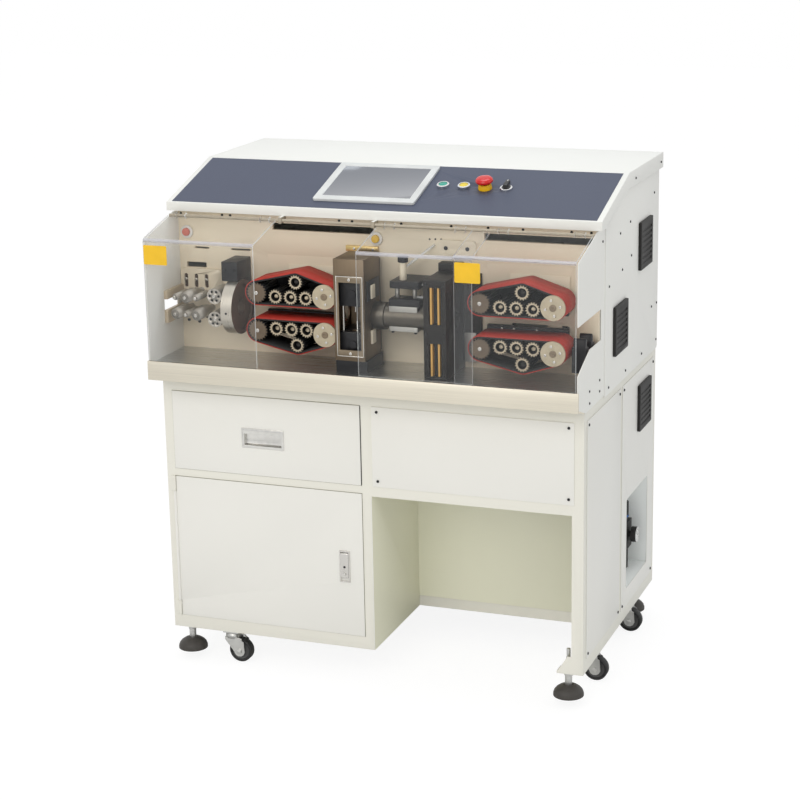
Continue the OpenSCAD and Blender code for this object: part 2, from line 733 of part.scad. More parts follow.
module hood_shell() {
    t = sheet;
    k = slope_y + (t / cos(slope_a) - t) * slope_run / slope_rise;
    flange = [[lip_y, lip_z], [lip_y, slope_z], [slope_y, hood_top], [hood_rear, hood_top],
        [hood_rear, hood_top - flange_h], [slope_y - 8, hood_top - flange_h], [lip_y + 46, lip_z + 4],
        [lip_y + 40, lip_z]];
    placed() color("#eceae4") {
        difference() {
            union() {
                profile_x(-hood_half, hood_half, [[lip_y, lip_z], [lip_y, slope_z], [slope_y, hood_top],
                    [hood_rear, hood_top], [hood_rear, hood_top - flange_h], [hood_rear - t, hood_top - flange_h],
                    [hood_rear - t, hood_top - t], [k, hood_top - t], [lip_y + t, under_slope(lip_y + t)],
                    [lip_y + t, lip_z + t], [plate_back, lip_z + t], [plate_back, lip_z]]);
                profile_x(-hood_half, -hood_half + t, flange);
                profile_x(hood_half - t, hood_half, flange);
            }
            panel_cuts(12);
        }
        rod_x_at(rod_y, rod_z, rod_r, -inner_x, inner_x);
        for (x = [left_cover_end + 6, middle_cover_start - 14]) box([x, rod_y - 7, rod_z - 7],
            [x + 8, lip_y + 8, lip_z + eps]);
    }
}

module guard(y, z) {
    w = guard_w;
    difference() {
        translate([0, y, z]) rotate([90, 0, 90]) linear_extrude(height = guard_t) round_rect(w, w, 4);
        for (i = [0 : 6]) box([guard_t - 3, y + 12, z + 14 + i * (w - 28) / 7],
            [guard_t + 1, y + w - 12, z + 14 + i * (w - 28) / 7 + (w - 28) / 14]);
    }
}

module fan_guards() {
    placed() color("#2b2c2e") {
        translate([guard_x, 0, 0]) guard(stand_d - 100 - guard_w, lip_z - 176);
        translate([guard_x, 0, 0]) guard(plate_back + 104, stand_top + 81);
        translate([fx + sheet, 0, 0]) guard(stand_d - 80 - guard_w, stand_top - 63 - guard_w);
    }
}

// Control panel.

module touch_screen() {
    placed() color("#c9cccd") on_slope(screen_x, screen_at) difference() {
        union() {
            linear_extrude(height = screen_t) round_rect(screen_w, screen_h, 6);
            translate([10, 10, -30]) cube([screen_w - 20, screen_h - 20, 30 + eps]);
        }
        translate([18, 22, screen_t - 1.5]) cube([screen_w - 36, screen_h - 40, 3]);
    }
}

module control_overlay() {
    placed() color("#4a515c") difference() {
        on_slope(-hood_half + 14, 6) translate([0, 0, -overlay_t]) cube([2 * hood_half - 28, slope_len - 14, overlay_t]);
        panel_cuts(12);
    }
}

module bezel(x) {
    on_slope(x, button_at) difference() {
        cylinder(r1 = bezel_r, r2 = bezel_r - 1.5, h = bezel_h);
        translate([0, 0, -1]) cylinder(r = button_r + fit, h = bezel_h + 2);
    }
}

module button_bezels() {
    placed() color("#c9cccd") {
        for (x = [start_x, stop_x, selector_x]) bezel(x);
        on_slope(estop_x, button_at) difference() {
            cylinder(r1 = 18, r2 = 16, h = stop_collar_h);
            translate([0, 0, -1]) cylinder(r = stop_stem_r + fit, h = stop_collar_h + 2);
        }
    }
}

module push_button(x) {
    on_slope(x, button_at) {
        translate([0, 0, button_travel + 0.5]) cylinder(r = button_r, h = bezel_h - button_travel + 1.5);
        translate([0, 0, -22]) cylinder(r = button_stem_r, h = 22 + button_travel + 1);
    }
}

module start_button() {
    placed() color("#3f9d4f") push_button(start_x);
}

module stop_button() {
    placed() color("#e0b422") push_button(stop_x);
}

module emergency_stop() {
    head = stop_collar_h + 5;
    placed() color("#cf2a26") on_slope(estop_x, button_at) {
        translate([0, 0, 6]) cylinder(r = stop_stem_r, h = head - 5);
        translate([0, 0, head]) rotate_extrude() polygon([[0, 0], [stop_r - 2, 0], [stop_r, 2], [stop_r, 6],
            [stop_r - 3, 10], [stop_r - 9, 12], [0, 12]]);
        translate([0, 0, -22]) cylinder(r = button_stem_r, h = 29);
    }
}

module selector_knob() {
    placed() color("#232426") on_slope(selector_x, button_at) {
        translate([0, 0, 0.5]) cylinder(r = button_r, h = bezel_h + 1);
        translate([-5, -9, bezel_h + 1]) cube([10, 32, 9]);
        translate([0, 0, -22]) cylinder(r = button_stem_r, h = 23);
    }
}

module lamp(x, z, r) {
    rod_y_at(x, z, r, plate_y - 5, plate_y);
    rod_y_at(x, z, r - 3, plate_y - 12, plate_y - 5 + eps);
}

module indicator_lamps() {
    placed() color("#c8442f") {
        lamp(-536, lip_z - 59, 13);
        lamp(-13, lip_z - 52, 13);
    }
}

// Covers.

// One cover: lift is the distance of its middle plane outside the hinge line.
module cover(x0, x1, lift, knuckles) {
    n = [-(rod_z - knee_z), rod_y - cover_front];
    u = n / norm(n);
    d = [u[1], -u[0]];
    hinge = [rod_y, rod_z] + u * lift;
    end = hinge - d * (cover_knuckle_r + 2);
    out = u * cover_t / 2;
    front = cover_front + cover_pitch / 2 - lift;
    knee_out = end + out - d * ((end + out - [front, 0])[0] / d[0]);
    knee_in = end - out - d * ((end - out - [front + cover_t, 0])[0] / d[0]);
    low = tray_top + 2;
    difference() {
        union() {
            profile_x(x0, x1, [[front, low], knee_out, end + out, end - out, knee_in, [front + cover_t, low]]);
            for (x = knuckles) {
                rod_x_at(rod_y, rod_z, cover_knuckle_r, x, x + 26);
                profile_x(x, x + 26, [end + out - d * 4, end - out - d * 4, end - out + d * (cover_knuckle_r + 2),
                    end + out + d * (cover_knuckle_r + 2)]);
            }
        }
        rod_x_at(rod_y, rod_z, rod_r + fit, x0 - 1, x1 + 1);
    }
}

module left_cover() {
    placed() color([0.8, 0.88, 0.9, 0.4]) cover(-cover_half, left_cover_end, cover_pitch / 2,
        [-cover_half + 20, left_cover_end - 46]);
}

module middle_cover() {
    placed() color([0.8, 0.88, 0.9, 0.4]) cover(middle_cover_start, middle_cover_end, -cover_pitch / 2,
        [middle_cover_start + 20, right_cover_start - 46]);
}

module right_cover() {
    placed() color([0.8, 0.88, 0.9, 0.4]) cover(right_cover_start, cover_half, cover_pitch / 2,
        [middle_cover_end + 20, cover_half - 46]);
}

// Blade head.

module blade_head_box() {
    w = head_wall;
    x1 = head_x + head_w;
    z1 = head_z + head_h;
    placed() color("#b4b2aa") {
        difference() {
            box([head_x, head_y, head_z], [x1, head_back, z1]);
            box([head_x + w, head_y + w, head_z + w], [x1 - w, head_back - w, z1 - w]);
            box([window_x, head_y - 1, window_mid_z - head_window_h / 2],
                [window_x + head_window_w, head_y + w + 1, window_mid_z + head_window_h / 2]);
            rod_x_at(wire_y, wire_z, guide_bore_r, head_x - 1, x1 + 1);
        }
        for (x = [post_x1, post_x2]) translate([x, post_y, head_z + 1]) cylinder(r = post_r, h = head_h - 2);
        blade_window_frame();
    }
}

module blade_window_frame() {
    x0 = window_x;
    z0 = window_mid_z - head_window_h / 2;
    difference() {
        box([x0 - 7, head_y - 3, z0 - 16], [x0 + head_window_w + 7, head_y + eps, z0 + head_window_h + 16]);
        box([x0, head_y - 4, z0], [x0 + head_window_w, head_y + 1, z0 + head_window_h]);
    }
}

module blade_head_mount() {
    placed() color("#2a2b2d") {
        box([head_x + 2, head_y, tray_floor], [head_x + head_w + 4, head_back + 4, head_z]);
        box([head_x + 10, head_back, head_z - eps], [head_x + head_w - 10, plate_y, head_z + head_h - 20]);
        box([head_x - 18, plate_y - 8, head_z + head_h - 6], [head_x + head_w - 12, plate_y, head_z + head_h + 8]);
        box([head_x + 24, plate_y - 8, head_z + head_h - 21], [head_x + head_w - 24, plate_y, head_z + head_h - 5]);
    }
}

// A block on the two guide posts that carries a V blade. Drawn for the upper blade about the wire.
module blade_holder(shift) {
    low = blade_travel + 19;
    high = low + 62;
    difference() {
        union() {
            box([head_x + holder_in, head_y + holder_in + 4, low],
                [head_x + head_w - holder_in, head_back - holder_in, high]);
            translate([head_mid + shift, 0, 0]) rotate([90, 0, 90]) linear_extrude(height = 3)
                polygon([[wire_y - 27, low + 20], [wire_y - 27, blade_open - 6], [wire_y - 16, blade_open - 6],
                    [wire_y, blade_open + 8], [wire_y + 16, blade_open - 6], [wire_y + 27, blade_open - 6],
                    [wire_y + 27, low + 20]]);
            rod_y_at(head_mid + 5, (low + high) / 2, 10, head_y + 6, head_y + holder_in + 5);
        }
        for (x = [post_x1, post_x2]) translate([x, post_y, low - 1]) cylinder(r = post_r + fit, h = high - low + 2);
    }
}

module upper_blade() {
    placed() color("#3b3c3f") translate([0, 0, wire_z]) blade_holder(-3.5);
}

module lower_blade() {
    placed() color("#3b3c3f") translate([0, 0, wire_z]) mirror([0, 0, 1]) blade_holder(0.5);
}

// Guides and rollers along the wire.

module guide_tube() {
    placed() color("#6d727a") difference() {
        union() {
            rod_x_at(wire_y, wire_z, collar_r, guide_start, guide_start + 33);
            rod_x_at(wire_y, wire_z, guide_r, guide_start + 32, gantry_x);
        }
        rod_x_at(wire_y, wire_z, guide_bore_r, guide_start - 1, gantry_x + 1);
    }
}

module saddle(side) {
    z0 = side > 0 ? wire_z + 14 : wire_z - guide_r - 12;
    difference() {
        box([saddle_x, wire_y - 22, z0], [saddle_x + saddle_w, wire_y + 22, z0 + guide_r - 2]);
        rod_x_at(wire_y, wire_z, guide_r + slip, saddle_x - 1, saddle_x + saddle_w + 1);
    }
}

module tube_clamp() {
    top = wire_z + guide_r + 12;
    arm = top + 42;
    placed() color("#2f3033") {
        saddle(1);
        saddle(-1);
        box([saddle_x + 4, wire_y - 20, tray_floor], [saddle_x + 14, wire_y + 20, wire_z - guide_r - 11]);
        box([saddle_x + saddle_w - 14, wire_y - 20, tray_floor],
            [saddle_x + saddle_w - 4, wire_y + 20, wire_z - guide_r - 11]);
        box([saddle_x, wire_y - 24, top - 1], [saddle_x + saddle_w, wire_y + 24, top + 16]);
        for (x = [saddle_x + 14, saddle_x + saddle_w - 14])
            translate([x, wire_y, top + 15]) cylinder(r = 6, h = arm - top - 14);
        box([saddle_x - 2, wire_y - 18, arm], [saddle_x + saddle_w + 6, plate_y, arm + 24]);
        translate([saddle_x + 30, wire_y, arm + 23]) cylinder(r = 9, h = 52);
        translate([saddle_x + 30, wire_y, arm + 74]) cylinder(r = 13, h = 10);
        hoses(arm);
    }
}

// Two clear air hoses: one from the plate to the post, one loop beside the block.
module hoses(arm) {
    a = [saddle_x + 34, wire_y, arm + 40];
    b = [saddle_x + 86, plate_y, lip_z - 62];
    v = b - a;
    translate(a) rotate([0, acos(v[2] / norm(v)), atan2(v[1], v[0])]) cylinder(r = 3, h = norm(v) - 4, $fn = 24);
    translate([saddle_x + saddle_w + 4, wire_y, arm - 8]) rotate([90, 90, 0])
        rotate_extrude(angle = 180) translate([16, 0]) circle(r = 3, $fn = 16);
    translate([saddle_x + saddle_w - 14, wire_y, arm - 24]) rotate([0, 90, 0]) cylinder(r = 3, h = 18, $fn = 24);
}

module guide_ring() {
    placed() color("#9a9c9e") {
        difference() {
            rod_x_at(wire_y, wire_z, ring_r, ring_x, ring_x + ring_t);
            rod_x_at(wire_y, wire_z, guide_bore_r, ring_x - 1, ring_x + ring_t + 1);
            for (x = [ring_x - eps, ring_x + ring_t - 5 + eps]) rod_x_at(wire_y, wire_z, ring_r - 12, x, x + 5);
        }
        difference() {
            box([ring_x - 16, wire_y - 6, wire_z + 52], [ring_x + ring_t + 14, plate_y, wire_z + 108]);
            rod_x_at(wire_y, wire_z, ring_r - 1, ring_x - 30, ring_x + ring_t + 30);
        }
    }
}

module roller(x, z, r) {
    rod_y_at(x, wire_z + z, r, roller_front, roller_front + 62);
    rod_y_at(x, wire_z + z, r * 0.55, roller_front - 5, plate_y - 5);
}

module straightener() {
    placed() color("#a9abad") {
        difference() {
            translate([roller_x - 58, plate_y, wire_z - 56]) rotate([90, 0, 0])
                linear_extrude(height = 6) round_rect(116, 134, 10);
            for (i = [-1, 0, 1]) translate([roller_x - 19 + i * roller_pitch, plate_y + 1, wire_z + 28])
                rotate([90, 0, 0]) linear_extrude(height = 10) round_rect(10, 36, 4.5);
        }
        for (i = [-1, 0, 1]) {
            roller(roller_x + i * roller_pitch, roller_row, i == 0 ? big_roller_r : small_roller_r);
            roller(roller_x + i * roller_pitch, -roller_row, i == 0 ? small_roller_r : big_roller_r);
        }
    }
}

module measure_roller(z) {
    placed() color("#a9abad") difference() {
        union() {
            rod_y_at(measure_x, wire_z + z, measure_r, 28, 92);
            rod_y_at(measure_x, wire_z + z, 6, 91, plate_back + 6);
        }
        for (i = [0 : 5]) rod_y_at(measure_x + measure_r * 0.62 * cos(i * 60), wire_z + z + measure_r * 0.62 * sin(i * 60),
            3.2, 27, 34);
    }
}

module upper_measure_roller() {
    measure_roller(measure_r + measure_gap / 2);
}

module lower_measure_roller() {
    measure_roller(-measure_r - measure_gap / 2);
}

module slide_gantry() {
    z1 = tray_floor + gantry_h;
    x1 = gantry_x + gantry_w;
    mid = wire_z - 20;
    placed() color("#242528") {
        difference() {
            box([gantry_x, gantry_y, tray_floor], [x1, plate_y, z1]);
            rod_x_at(wire_y, wire_z, guide_bore_r, gantry_x - 1, x1 + 1);
            for (z = [[tray_floor + 8, mid - 24], [mid + 24, z1 - 18]])
                box([gantry_x + 13, gantry_y - 1, z[0]], [x1 - 13, gantry_y + 14, z[1]]);
        }
        for (z = [[tray_floor + 8, mid - 24], [mid + 24, z1 - 18]]) for (x = [gantry_x + 17, x1 - 22])
            box([x, gantry_y + 1, z[0] - eps], [x + 5, gantry_y + 14 + eps, z[1] + eps]);
        box([x1 - eps, plate_y - 12, tray_floor + 20], [x1 + 46, plate_y, z1 - 6]);
    }
}

module exit_guide() {
    x0 = inner_x - 40;
    z0 = wire_z - 103;
    placed() color("#2f3135") difference() {
        union() {
            box([x0, wire_y - 34, z0], [inner_x - 4, wire_y + 42, wire_z - 40]);
            for (y = [wire_y - 34, wire_y + 20]) profile_x(x0 + 4, inner_x - 6, [[y, wire_z - 41], [y, wire_z - 24],
                [y + 5, wire_z - 18], [y + 9, wire_z - 18], [y + 14, wire_z - 24], [y + 14, wire_z - 41]]);
            box([x0, wire_y + 41, z0 + 10], [inner_x - 4, plate_y, wire_z - 52]);
        }
        profile_x(x0 - 1, inner_x, [[wire_y - 16, wire_z - 39], [wire_y + 16, wire_z - 39], [wire_y, wire_z - 56]]);
    }
}

module air_regulator() {
    x = fx - 78;
    y = stand_d - 165;
    z = castor_h + 140;
    placed() color("#2d3034") {
        box([x, y, z], [x + 46, y + 50, z + 76]);
        translate([x + 23, y + 25, z + 75]) cylinder(r = 14, h = 12);
        translate([x + 23, y + 25, z + 86]) cylinder(r = 20, h = 42);
        translate([x + 23, y + 25, z - 62]) cylinder(r = 19, h = 63);
        rod_x_at(y + 25, z + 38, 8, x + 45, x + 54);
        rod_x_at(y + 25, z + 38, 21, x + 53, x + 68);
        box([x + 12, y + 49, z + 50], [x + 34, frame_back, z + 54]);
        box([x + 8, frame_back - 3, z + 20], [x + 38, frame_back, z + 54]);
    }
}

// Belt feeders. Every piece is drawn for an upper feeder about the wire and mirrored for a lower one.

module flip(lower) {
    translate([0, 0, wire_z]) mirror([0, 0, lower ? 1 : 0]) children();
}

module pulley_spot(x, run, side) {
    translate([x + side * pulley_half, 0, run + pulley_r]) children();
}

module feeder_belt(x, run, lower) {
    ends = [[x - pulley_half, run + pulley_r, pulley_r], [x + apex_x, run + apex_up, idler_r],
        [x + pulley_half, run + pulley_r, pulley_r]];
    placed() color("#b4322b") flip(lower) translate([0, belt_back, 0]) rotate([90, 0, 0])
        linear_extrude(height = belt_w) difference() {
            hull() for (e = ends) translate([e[0], e[1]]) circle(r = e[2] + belt_t);
            hull() for (e = ends) translate([e[0], e[1]]) circle(r = e[2] + slip);
        }
}

module idler(x, z) {
    translate([x, belt_back - 1, z]) rotate([90, 0, 0]) difference() {
        linear_extrude(height = belt_w - 3) toothed(idler_r, 15, 2);
        translate([0, 0, belt_w - 20]) cylinder(r = idler_r - 6, h = 20);
    }
    rod_y_at(x, z, 5, belt_front + 5, carrier_y + 1);
}

module feeder_carrier(x, run, lower) {
    placed() color("#26272a") flip(lower) difference() {
        union() {
            translate([0, carrier_y + carrier_t, 0]) rotate([90, 0, 0]) linear_extrude(height = carrier_t) hull() {
                for (s = [-1, 1]) translate([x + s * pulley_half, run + pulley_r]) circle(r = shaft_r + 10, $fn = 32);
                translate([x + apex_x, run + apex_up]) circle(r = 13, $fn = 32);
                translate([x, run + 14]) square([120, 8], center = true);
            }
            for (i = [-1, 0, 1]) idler(x + i * idler_pitch, run + idler_r);
            idler(x + apex_x, run + apex_up);
            box([x - 44, carrier_y + carrier_t - 1, run + 24], [x + 44, slide_y, run + 56]);
            box([x - slide_rod_x - 16, slide_y - 16, run + 18], [x + slide_rod_x + 16, slide_y + 16, run + 62]);
            box([x + slide_rod_x + 15, slide_y - 14, run + 4], [x + pulley_half + 24, slide_y + 76, run + 52]);
        }
        for (s = [-1, 1]) translate([x + s * slide_rod_x, slide_y, run])
            cylinder(r = slide_rod_r + fit, h = 80);
        for (s = [-1, 1]) rod_y_at(x + s * pulley_half, run + pulley_r, shaft_r + fit, carrier_y - 1,
            carrier_y + carrier_t + 1);
        rod_y_at(x + pulley_half, run + pulley_r, shaft_r + fit, slide_y - 15, slide_y + 20);
    }
}

module toothed_pulley(back) {
    rotate([90, 0, 0]) translate([0, 0, -belt_back]) linear_extrude(height = belt_w) toothed(pulley_r, 24, 2.2);
    rod_y_at(0, 0, shaft_r, belt_back - 1, back);
}

module feeder_drive(x, run, lower) {
    placed() color("#b5b0a2") flip(lower) pulley_spot(x, run, 1) {
        toothed_pulley(slide_y + 18);
        rod_y_at(0, 0, drive_flange_r, belt_front - 5.5, belt_front - 0.5);
        rod_y_at(0, 0, 12, belt_front - 1, belt_front + 1);
    }
}

module feeder_tail(x, run, lower) {
    placed() color("#8d8779") flip(lower) pulley_spot(x, run, -1) toothed_pulley(carrier_y + carrier_t + 3);
}

stand_frame();
stand_panels();
floor_fittings();
steel_tray();
main_plate();
body_panels();
hood_shell();
fan_guards();
touch_screen();
control_overlay();
button_bezels();
indicator_lamps();
blade_head_box();
blade_head_mount();
guide_tube();
tube_clamp();
guide_ring();
slide_gantry();
straightener();
exit_guide();
air_regulator();
drawer_box();
drawer_pull();
cabinet_door();
lock_paddle();
left_cover();
middle_cover();
right_cover();
start_button();
stop_button();
emergency_stop();
selector_knob();
upper_blade();
lower_blade();
upper_measure_roller();
lower_measure_roller();
castor_fork(castors[0]);  // castor_fork_1
castor_fork(castors[1]);  // castor_fork_2
castor_fork(castors[2]);  // castor_fork_3
castor_fork(castors[3]);  // castor_fork_4
castor_wheel(castors[0]);  // castor_wheel_1
castor_wheel(castors[1]);  // castor_wheel_2
castor_wheel(castors[2]);  // castor_wheel_3
castor_wheel(castors[3]);  // castor_wheel_4
feeder_carrier(left_feed_x, run_left, false);  // left_upper_carrier
feeder_carrier(left_feed_x, run_left, true);  // left_lower_carrier
feeder_carrier(right_feed_x, run_right, false);  // right_upper_carrier
feeder_carrier(right_feed_x, run_right, true);  // right_lower_carrier
feeder_belt(left_feed_x, run_left, false);  // left_upper_belt
feeder_belt(left_feed_x, run_left, true);  // left_lower_belt
feeder_belt(right_feed_x, run_right, false);  // right_upper_belt
feeder_belt(right_feed_x, run_right, true);  // right_lower_belt
feeder_drive(left_feed_x, run_left, false);  // left_upper_drive
feeder_drive(left_feed_x, run_left, true);  // left_lower_drive
feeder_drive(right_feed_x, run_right, false);  // right_upper_drive
feeder_drive(right_feed_x, run_right, true);  // right_lower_drive
feeder_tail(left_feed_x, run_left, false);  // left_upper_tail
feeder_tail(left_feed_x, run_left, true);  // left_lower_tail
feeder_tail(right_feed_x, run_right, false);  // right_upper_tail
feeder_tail(right_feed_x, run_right, true);  // right_lower_tail
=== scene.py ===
import json
import math

import bmesh
import bpy
from mathutils import Matrix, Vector

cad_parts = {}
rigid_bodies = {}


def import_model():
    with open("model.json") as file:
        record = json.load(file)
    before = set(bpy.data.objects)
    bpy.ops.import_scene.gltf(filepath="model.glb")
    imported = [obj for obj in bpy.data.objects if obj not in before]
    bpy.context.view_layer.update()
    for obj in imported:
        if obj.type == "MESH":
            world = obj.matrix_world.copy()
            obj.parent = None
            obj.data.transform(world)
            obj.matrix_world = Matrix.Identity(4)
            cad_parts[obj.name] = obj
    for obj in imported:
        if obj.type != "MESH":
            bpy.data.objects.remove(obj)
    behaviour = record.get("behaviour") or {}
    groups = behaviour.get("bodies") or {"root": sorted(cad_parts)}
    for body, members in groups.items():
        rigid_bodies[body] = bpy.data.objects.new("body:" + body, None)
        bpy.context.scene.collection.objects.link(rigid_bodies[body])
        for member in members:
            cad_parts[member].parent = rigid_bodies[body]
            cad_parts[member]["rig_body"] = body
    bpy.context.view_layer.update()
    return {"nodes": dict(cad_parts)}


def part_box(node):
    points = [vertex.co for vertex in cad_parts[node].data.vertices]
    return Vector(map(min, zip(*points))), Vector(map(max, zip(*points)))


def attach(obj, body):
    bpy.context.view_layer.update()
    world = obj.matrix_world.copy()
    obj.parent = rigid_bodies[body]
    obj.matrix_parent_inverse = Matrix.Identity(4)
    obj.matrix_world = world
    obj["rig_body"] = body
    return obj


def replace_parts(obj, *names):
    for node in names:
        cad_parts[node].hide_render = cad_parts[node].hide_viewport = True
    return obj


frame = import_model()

# The studio: a pale floor, even light from all round, a broad lamp over the front, and weaker ones to the
# right and above. The camera stands to the right of the machine and a little above it, with a long lens.
scene = bpy.context.scene
scene.view_settings.view_transform = "Standard"


class Lay:
    """One socket of a material. Arithmetic on it lays down Math nodes, and node() lays down any other."""

    def __init__(self, tree, socket=None):
        self.tree = tree
        self.socket = socket

    def node(self, kind, settings, links, out=0):
        made = self.tree.nodes.new("ShaderNode" + kind)
        for key, value in settings.items():
            setattr(made, key, value)
        for key, value in links.items():
            if isinstance(value, Lay):
                self.tree.links.new(value.socket, made.inputs[key])
            else:
                made.inputs[key].default_value = value
        return Lay(self.tree, made.outputs[out])

    def maths(self, operation, other):
        return self.node("Math", {"operation": operation}, {0: self, 1: other})

    def __add__(self, other):
        return self.maths("ADD", other)

    def __mul__(self, other):
        return self.maths("MULTIPLY", other)

    def __gt__(self, other):
        return self.maths("GREATER_THAN", other)

    def to(self, shader, name):
        self.tree.links.new(self.socket, shader.inputs[name])


DAYLIGHT = 0.69
air = bpy.data.worlds.new("studio_air")
scene.world = air
air.use_nodes = True
sky = Lay(air.node_tree)
shown = (sky.node("LightPath", {}, {}, "Is Camera Ray") + sky.node("LightPath", {}, {}, "Is Glossy Ray")
         + sky.node("LightPath", {}, {}, "Is Transmission Ray")) > 0.5
background = air.node_tree.nodes["Background"]
background.inputs["Color"].default_value = (1, 1, 1, 1)
(shown * (1 - DAYLIGHT) + DAYLIGHT).to(background, "Strength")


def lamp_over(name, place, aim, size, watts, tint):
    """A square soft box that looks at a point."""
    box = bpy.data.lights.new(name, "AREA")
    box.size = size
    box.energy = watts
    box.color = tint
    hung = bpy.data.objects.new(name, box)
    scene.collection.objects.link(hung)
    look = (Vector(aim) - Vector(place)).to_track_quat("-Z", "Y")
    hung.matrix_world = Matrix.Translation(place) @ look.to_matrix().to_4x4()


lamp_over("front_soft_box", (-0.3, -3.9, 3.0), (0, -0.2, 0.7), 2.6, 55, (1.0, 0.975, 0.92))
lamp_over("right_soft_box", (3.6, -0.6, 2.6), (0, 0, 0.8), 2.2, 8, (0.88, 0.96, 1.0))
lamp_over("top_soft_box", (0.0, 0.5, 4.0), (0, 0.1, 1.2), 1.6, 27, (0.88, 0.95, 1.0))

FLOOR_HALF, FLOOR_GLOW, GLOW_SHARE = 14, 1.08, 0.82
pale = bpy.data.materials.new("pale_floor")
pale.use_nodes = True
ground = Lay(pale.node_tree)
pale_shader = pale.node_tree.nodes["Principled BSDF"]
pale_shader.inputs["Base Color"].default_value = (0.9, 0.9, 0.9, 1)
pale_shader.inputs["Roughness"].default_value = 0.8
glow = ground.node("Emission", {}, {"Color": (1, 1, 1, 1), "Strength": FLOOR_GLOW})
faint = ground.node("MixShader", {}, {0: ground.node("LightPath", {}, {}, "Is Camera Ray") * GLOW_SHARE})
pale.node_tree.links.new(pale_shader.outputs[0], faint.socket.node.inputs[1])
pale.node_tree.links.new(glow.socket, faint.socket.node.inputs[2])
pale.node_tree.links.new(faint.socket, pale.node_tree.nodes["Material Output"].inputs["Surface"])
bm = bmesh.new()
bmesh.ops.create_grid(bm, x_segments=1, y_segments=1, size=FLOOR_HALF)
floor_mesh = bpy.data.meshes.new("studio_floor")
bm.to_mesh(floor_mesh)
bm.free()
floor_mesh.materials.append(pale)
floor = bpy.data.objects.new("studio_floor", floor_mesh)
scene.collection.objects.link(floor)

EYE_AT = (1.8155, -4.8801, 2.0899)
TURN, TILT, ROLL = math.radians(20.73), math.radians(15.29), math.radians(-1.11)
away = Vector((math.sin(TURN) * math.cos(TILT), -math.cos(TURN) * math.cos(TILT), math.sin(TILT)))
level = Vector((math.cos(TURN), math.sin(TURN), 0))
upright = away.cross(level)
eye = bpy.data.cameras.new("photo_camera")
eye.lens = 92.2
eye.sensor_width = 36
eye.clip_end = 60
camera = bpy.data.objects.new("photo_camera", eye)
scene.collection.objects.link(camera)
camera.matrix_world = Matrix.Translation(EYE_AT) @ Matrix((
    level * math.cos(ROLL) + upright * math.sin(ROLL),
    upright * math.cos(ROLL) - level * math.sin(ROLL), away)).transposed().to_4x4()
scene.camera = camera

# The stand is square tube welded into a frame, with folded steel sheets over it, all powder coated off-white.
# Small black socket screws hold the sheets.
STAND_FRONT = -0.323
MERGE = 2e-6
SHARP = math.radians(50)
KNEE_BEND = 0.005
FRONT, BACK = (0, -1, 0), (0, 1, 0)


def spot(x, y, z):
    """A point in millimetres from the middle of the stand front at floor level, in the frame's metres."""
    return Vector((x / 1000, y / 1000 + STAND_FRONT, z / 1000))


def finish(name, colour, rough, metal=0.0, extras=()):
    """A material with one shader: the material, a socket to start from, the shader and object coordinates."""
    made = bpy.data.materials.new(name)
    made.use_nodes = True
    shader = made.node_tree.nodes["Principled BSDF"]
    shader.inputs["Base Color"].default_value = (*colour, 1)
    shader.inputs["Roughness"].default_value = rough
    shader.inputs["Metallic"].default_value = metal
    for key, value in dict(extras).items():
        shader.inputs[key].default_value = value
    lay = Lay(made.node_tree)
    return made, lay, shader, lay.node("TexCoord", {}, {}, "Object")


def noise(lay, place, scale, detail=2.0):
    return lay.node("TexNoise", {}, {"Vector": place, "Scale": scale, "Detail": detail})


def between(lay, factor, first, second):
    """A colour between two."""
    return lay.node("Mix", {"data_type": "RGBA"}, {0: factor, 6: (*first, 1), 7: (*second, 1)}, 2)


def relief(lay, shader, height, strength, depth):
    """Bump from a height."""
    lay.node("Bump", {}, {"Strength": strength, "Distance": depth, "Height": height}).to(shader, "Normal")


def shade(colour, factor):
    return tuple(c * factor for c in colour)


def powder_coat(name, colour):
    """Baked paint: orange peel, a slow drift of tone and a few duller patches."""
    made, lay, shader, place = finish(name, colour, 0.4, extras={"Specular IOR Level": 0.45})
    drift = noise(lay, place, 2.2)
    between(lay, drift, shade(colour, 0.965), shade(colour, 1.03)).to(shader, "Base Color")
    (noise(lay, place, 9.0) * 0.16 + 0.34).to(shader, "Roughness")
    relief(lay, shader, noise(lay, place, 520.0, 1.0), 0.12, 0.0004)
    return made


def black_steel(name, colour=(0.03, 0.03, 0.032), rough=0.38, metal=0.6):
    """Blackened steel with a fine grain and rubbed places."""
    made, lay, shader, place = finish(name, colour, rough, metal, {"Specular IOR Level": 0.25})
    rubbed = noise(lay, place, 35.0, 4.0)
    between(lay, rubbed, shade(colour, 0.7), shade(colour, 1.6)).to(shader, "Base Color")
    (rubbed * 0.3 + (rough - 0.15)).to(shader, "Roughness")
    relief(lay, shader, noise(lay, place, 900.0, 1.0), 0.1, 0.0002)
    return made


def join(bm, name, finishes, body, corner=32):
    """Turns a bmesh into a piece that rides on a body; corners sharper than the given angle stay sharp."""
    mesh = bpy.data.meshes.new(name)
    bm.to_mesh(mesh)
    bm.free()
    for made in finishes:
        mesh.materials.append(made)
    for face in mesh.polygons:
        face.use_smooth = True
    mesh.set_sharp_from_angle(angle=math.radians(corner))
    piece = bpy.data.objects.new(name, mesh)
    scene.collection.objects.link(piece)
    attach(piece, body)
    return piece


def choose(bm, pick):
    """Gives each face its finish by its place in millimetres and its direction."""
    for face in bm.faces:
        mid = face.calc_center_median() * 1000
        place = Vector((mid.x, mid.y - STAND_FRONT * 1000, mid.z))
        face.material_index = pick(place, face.normal) if pick else 0


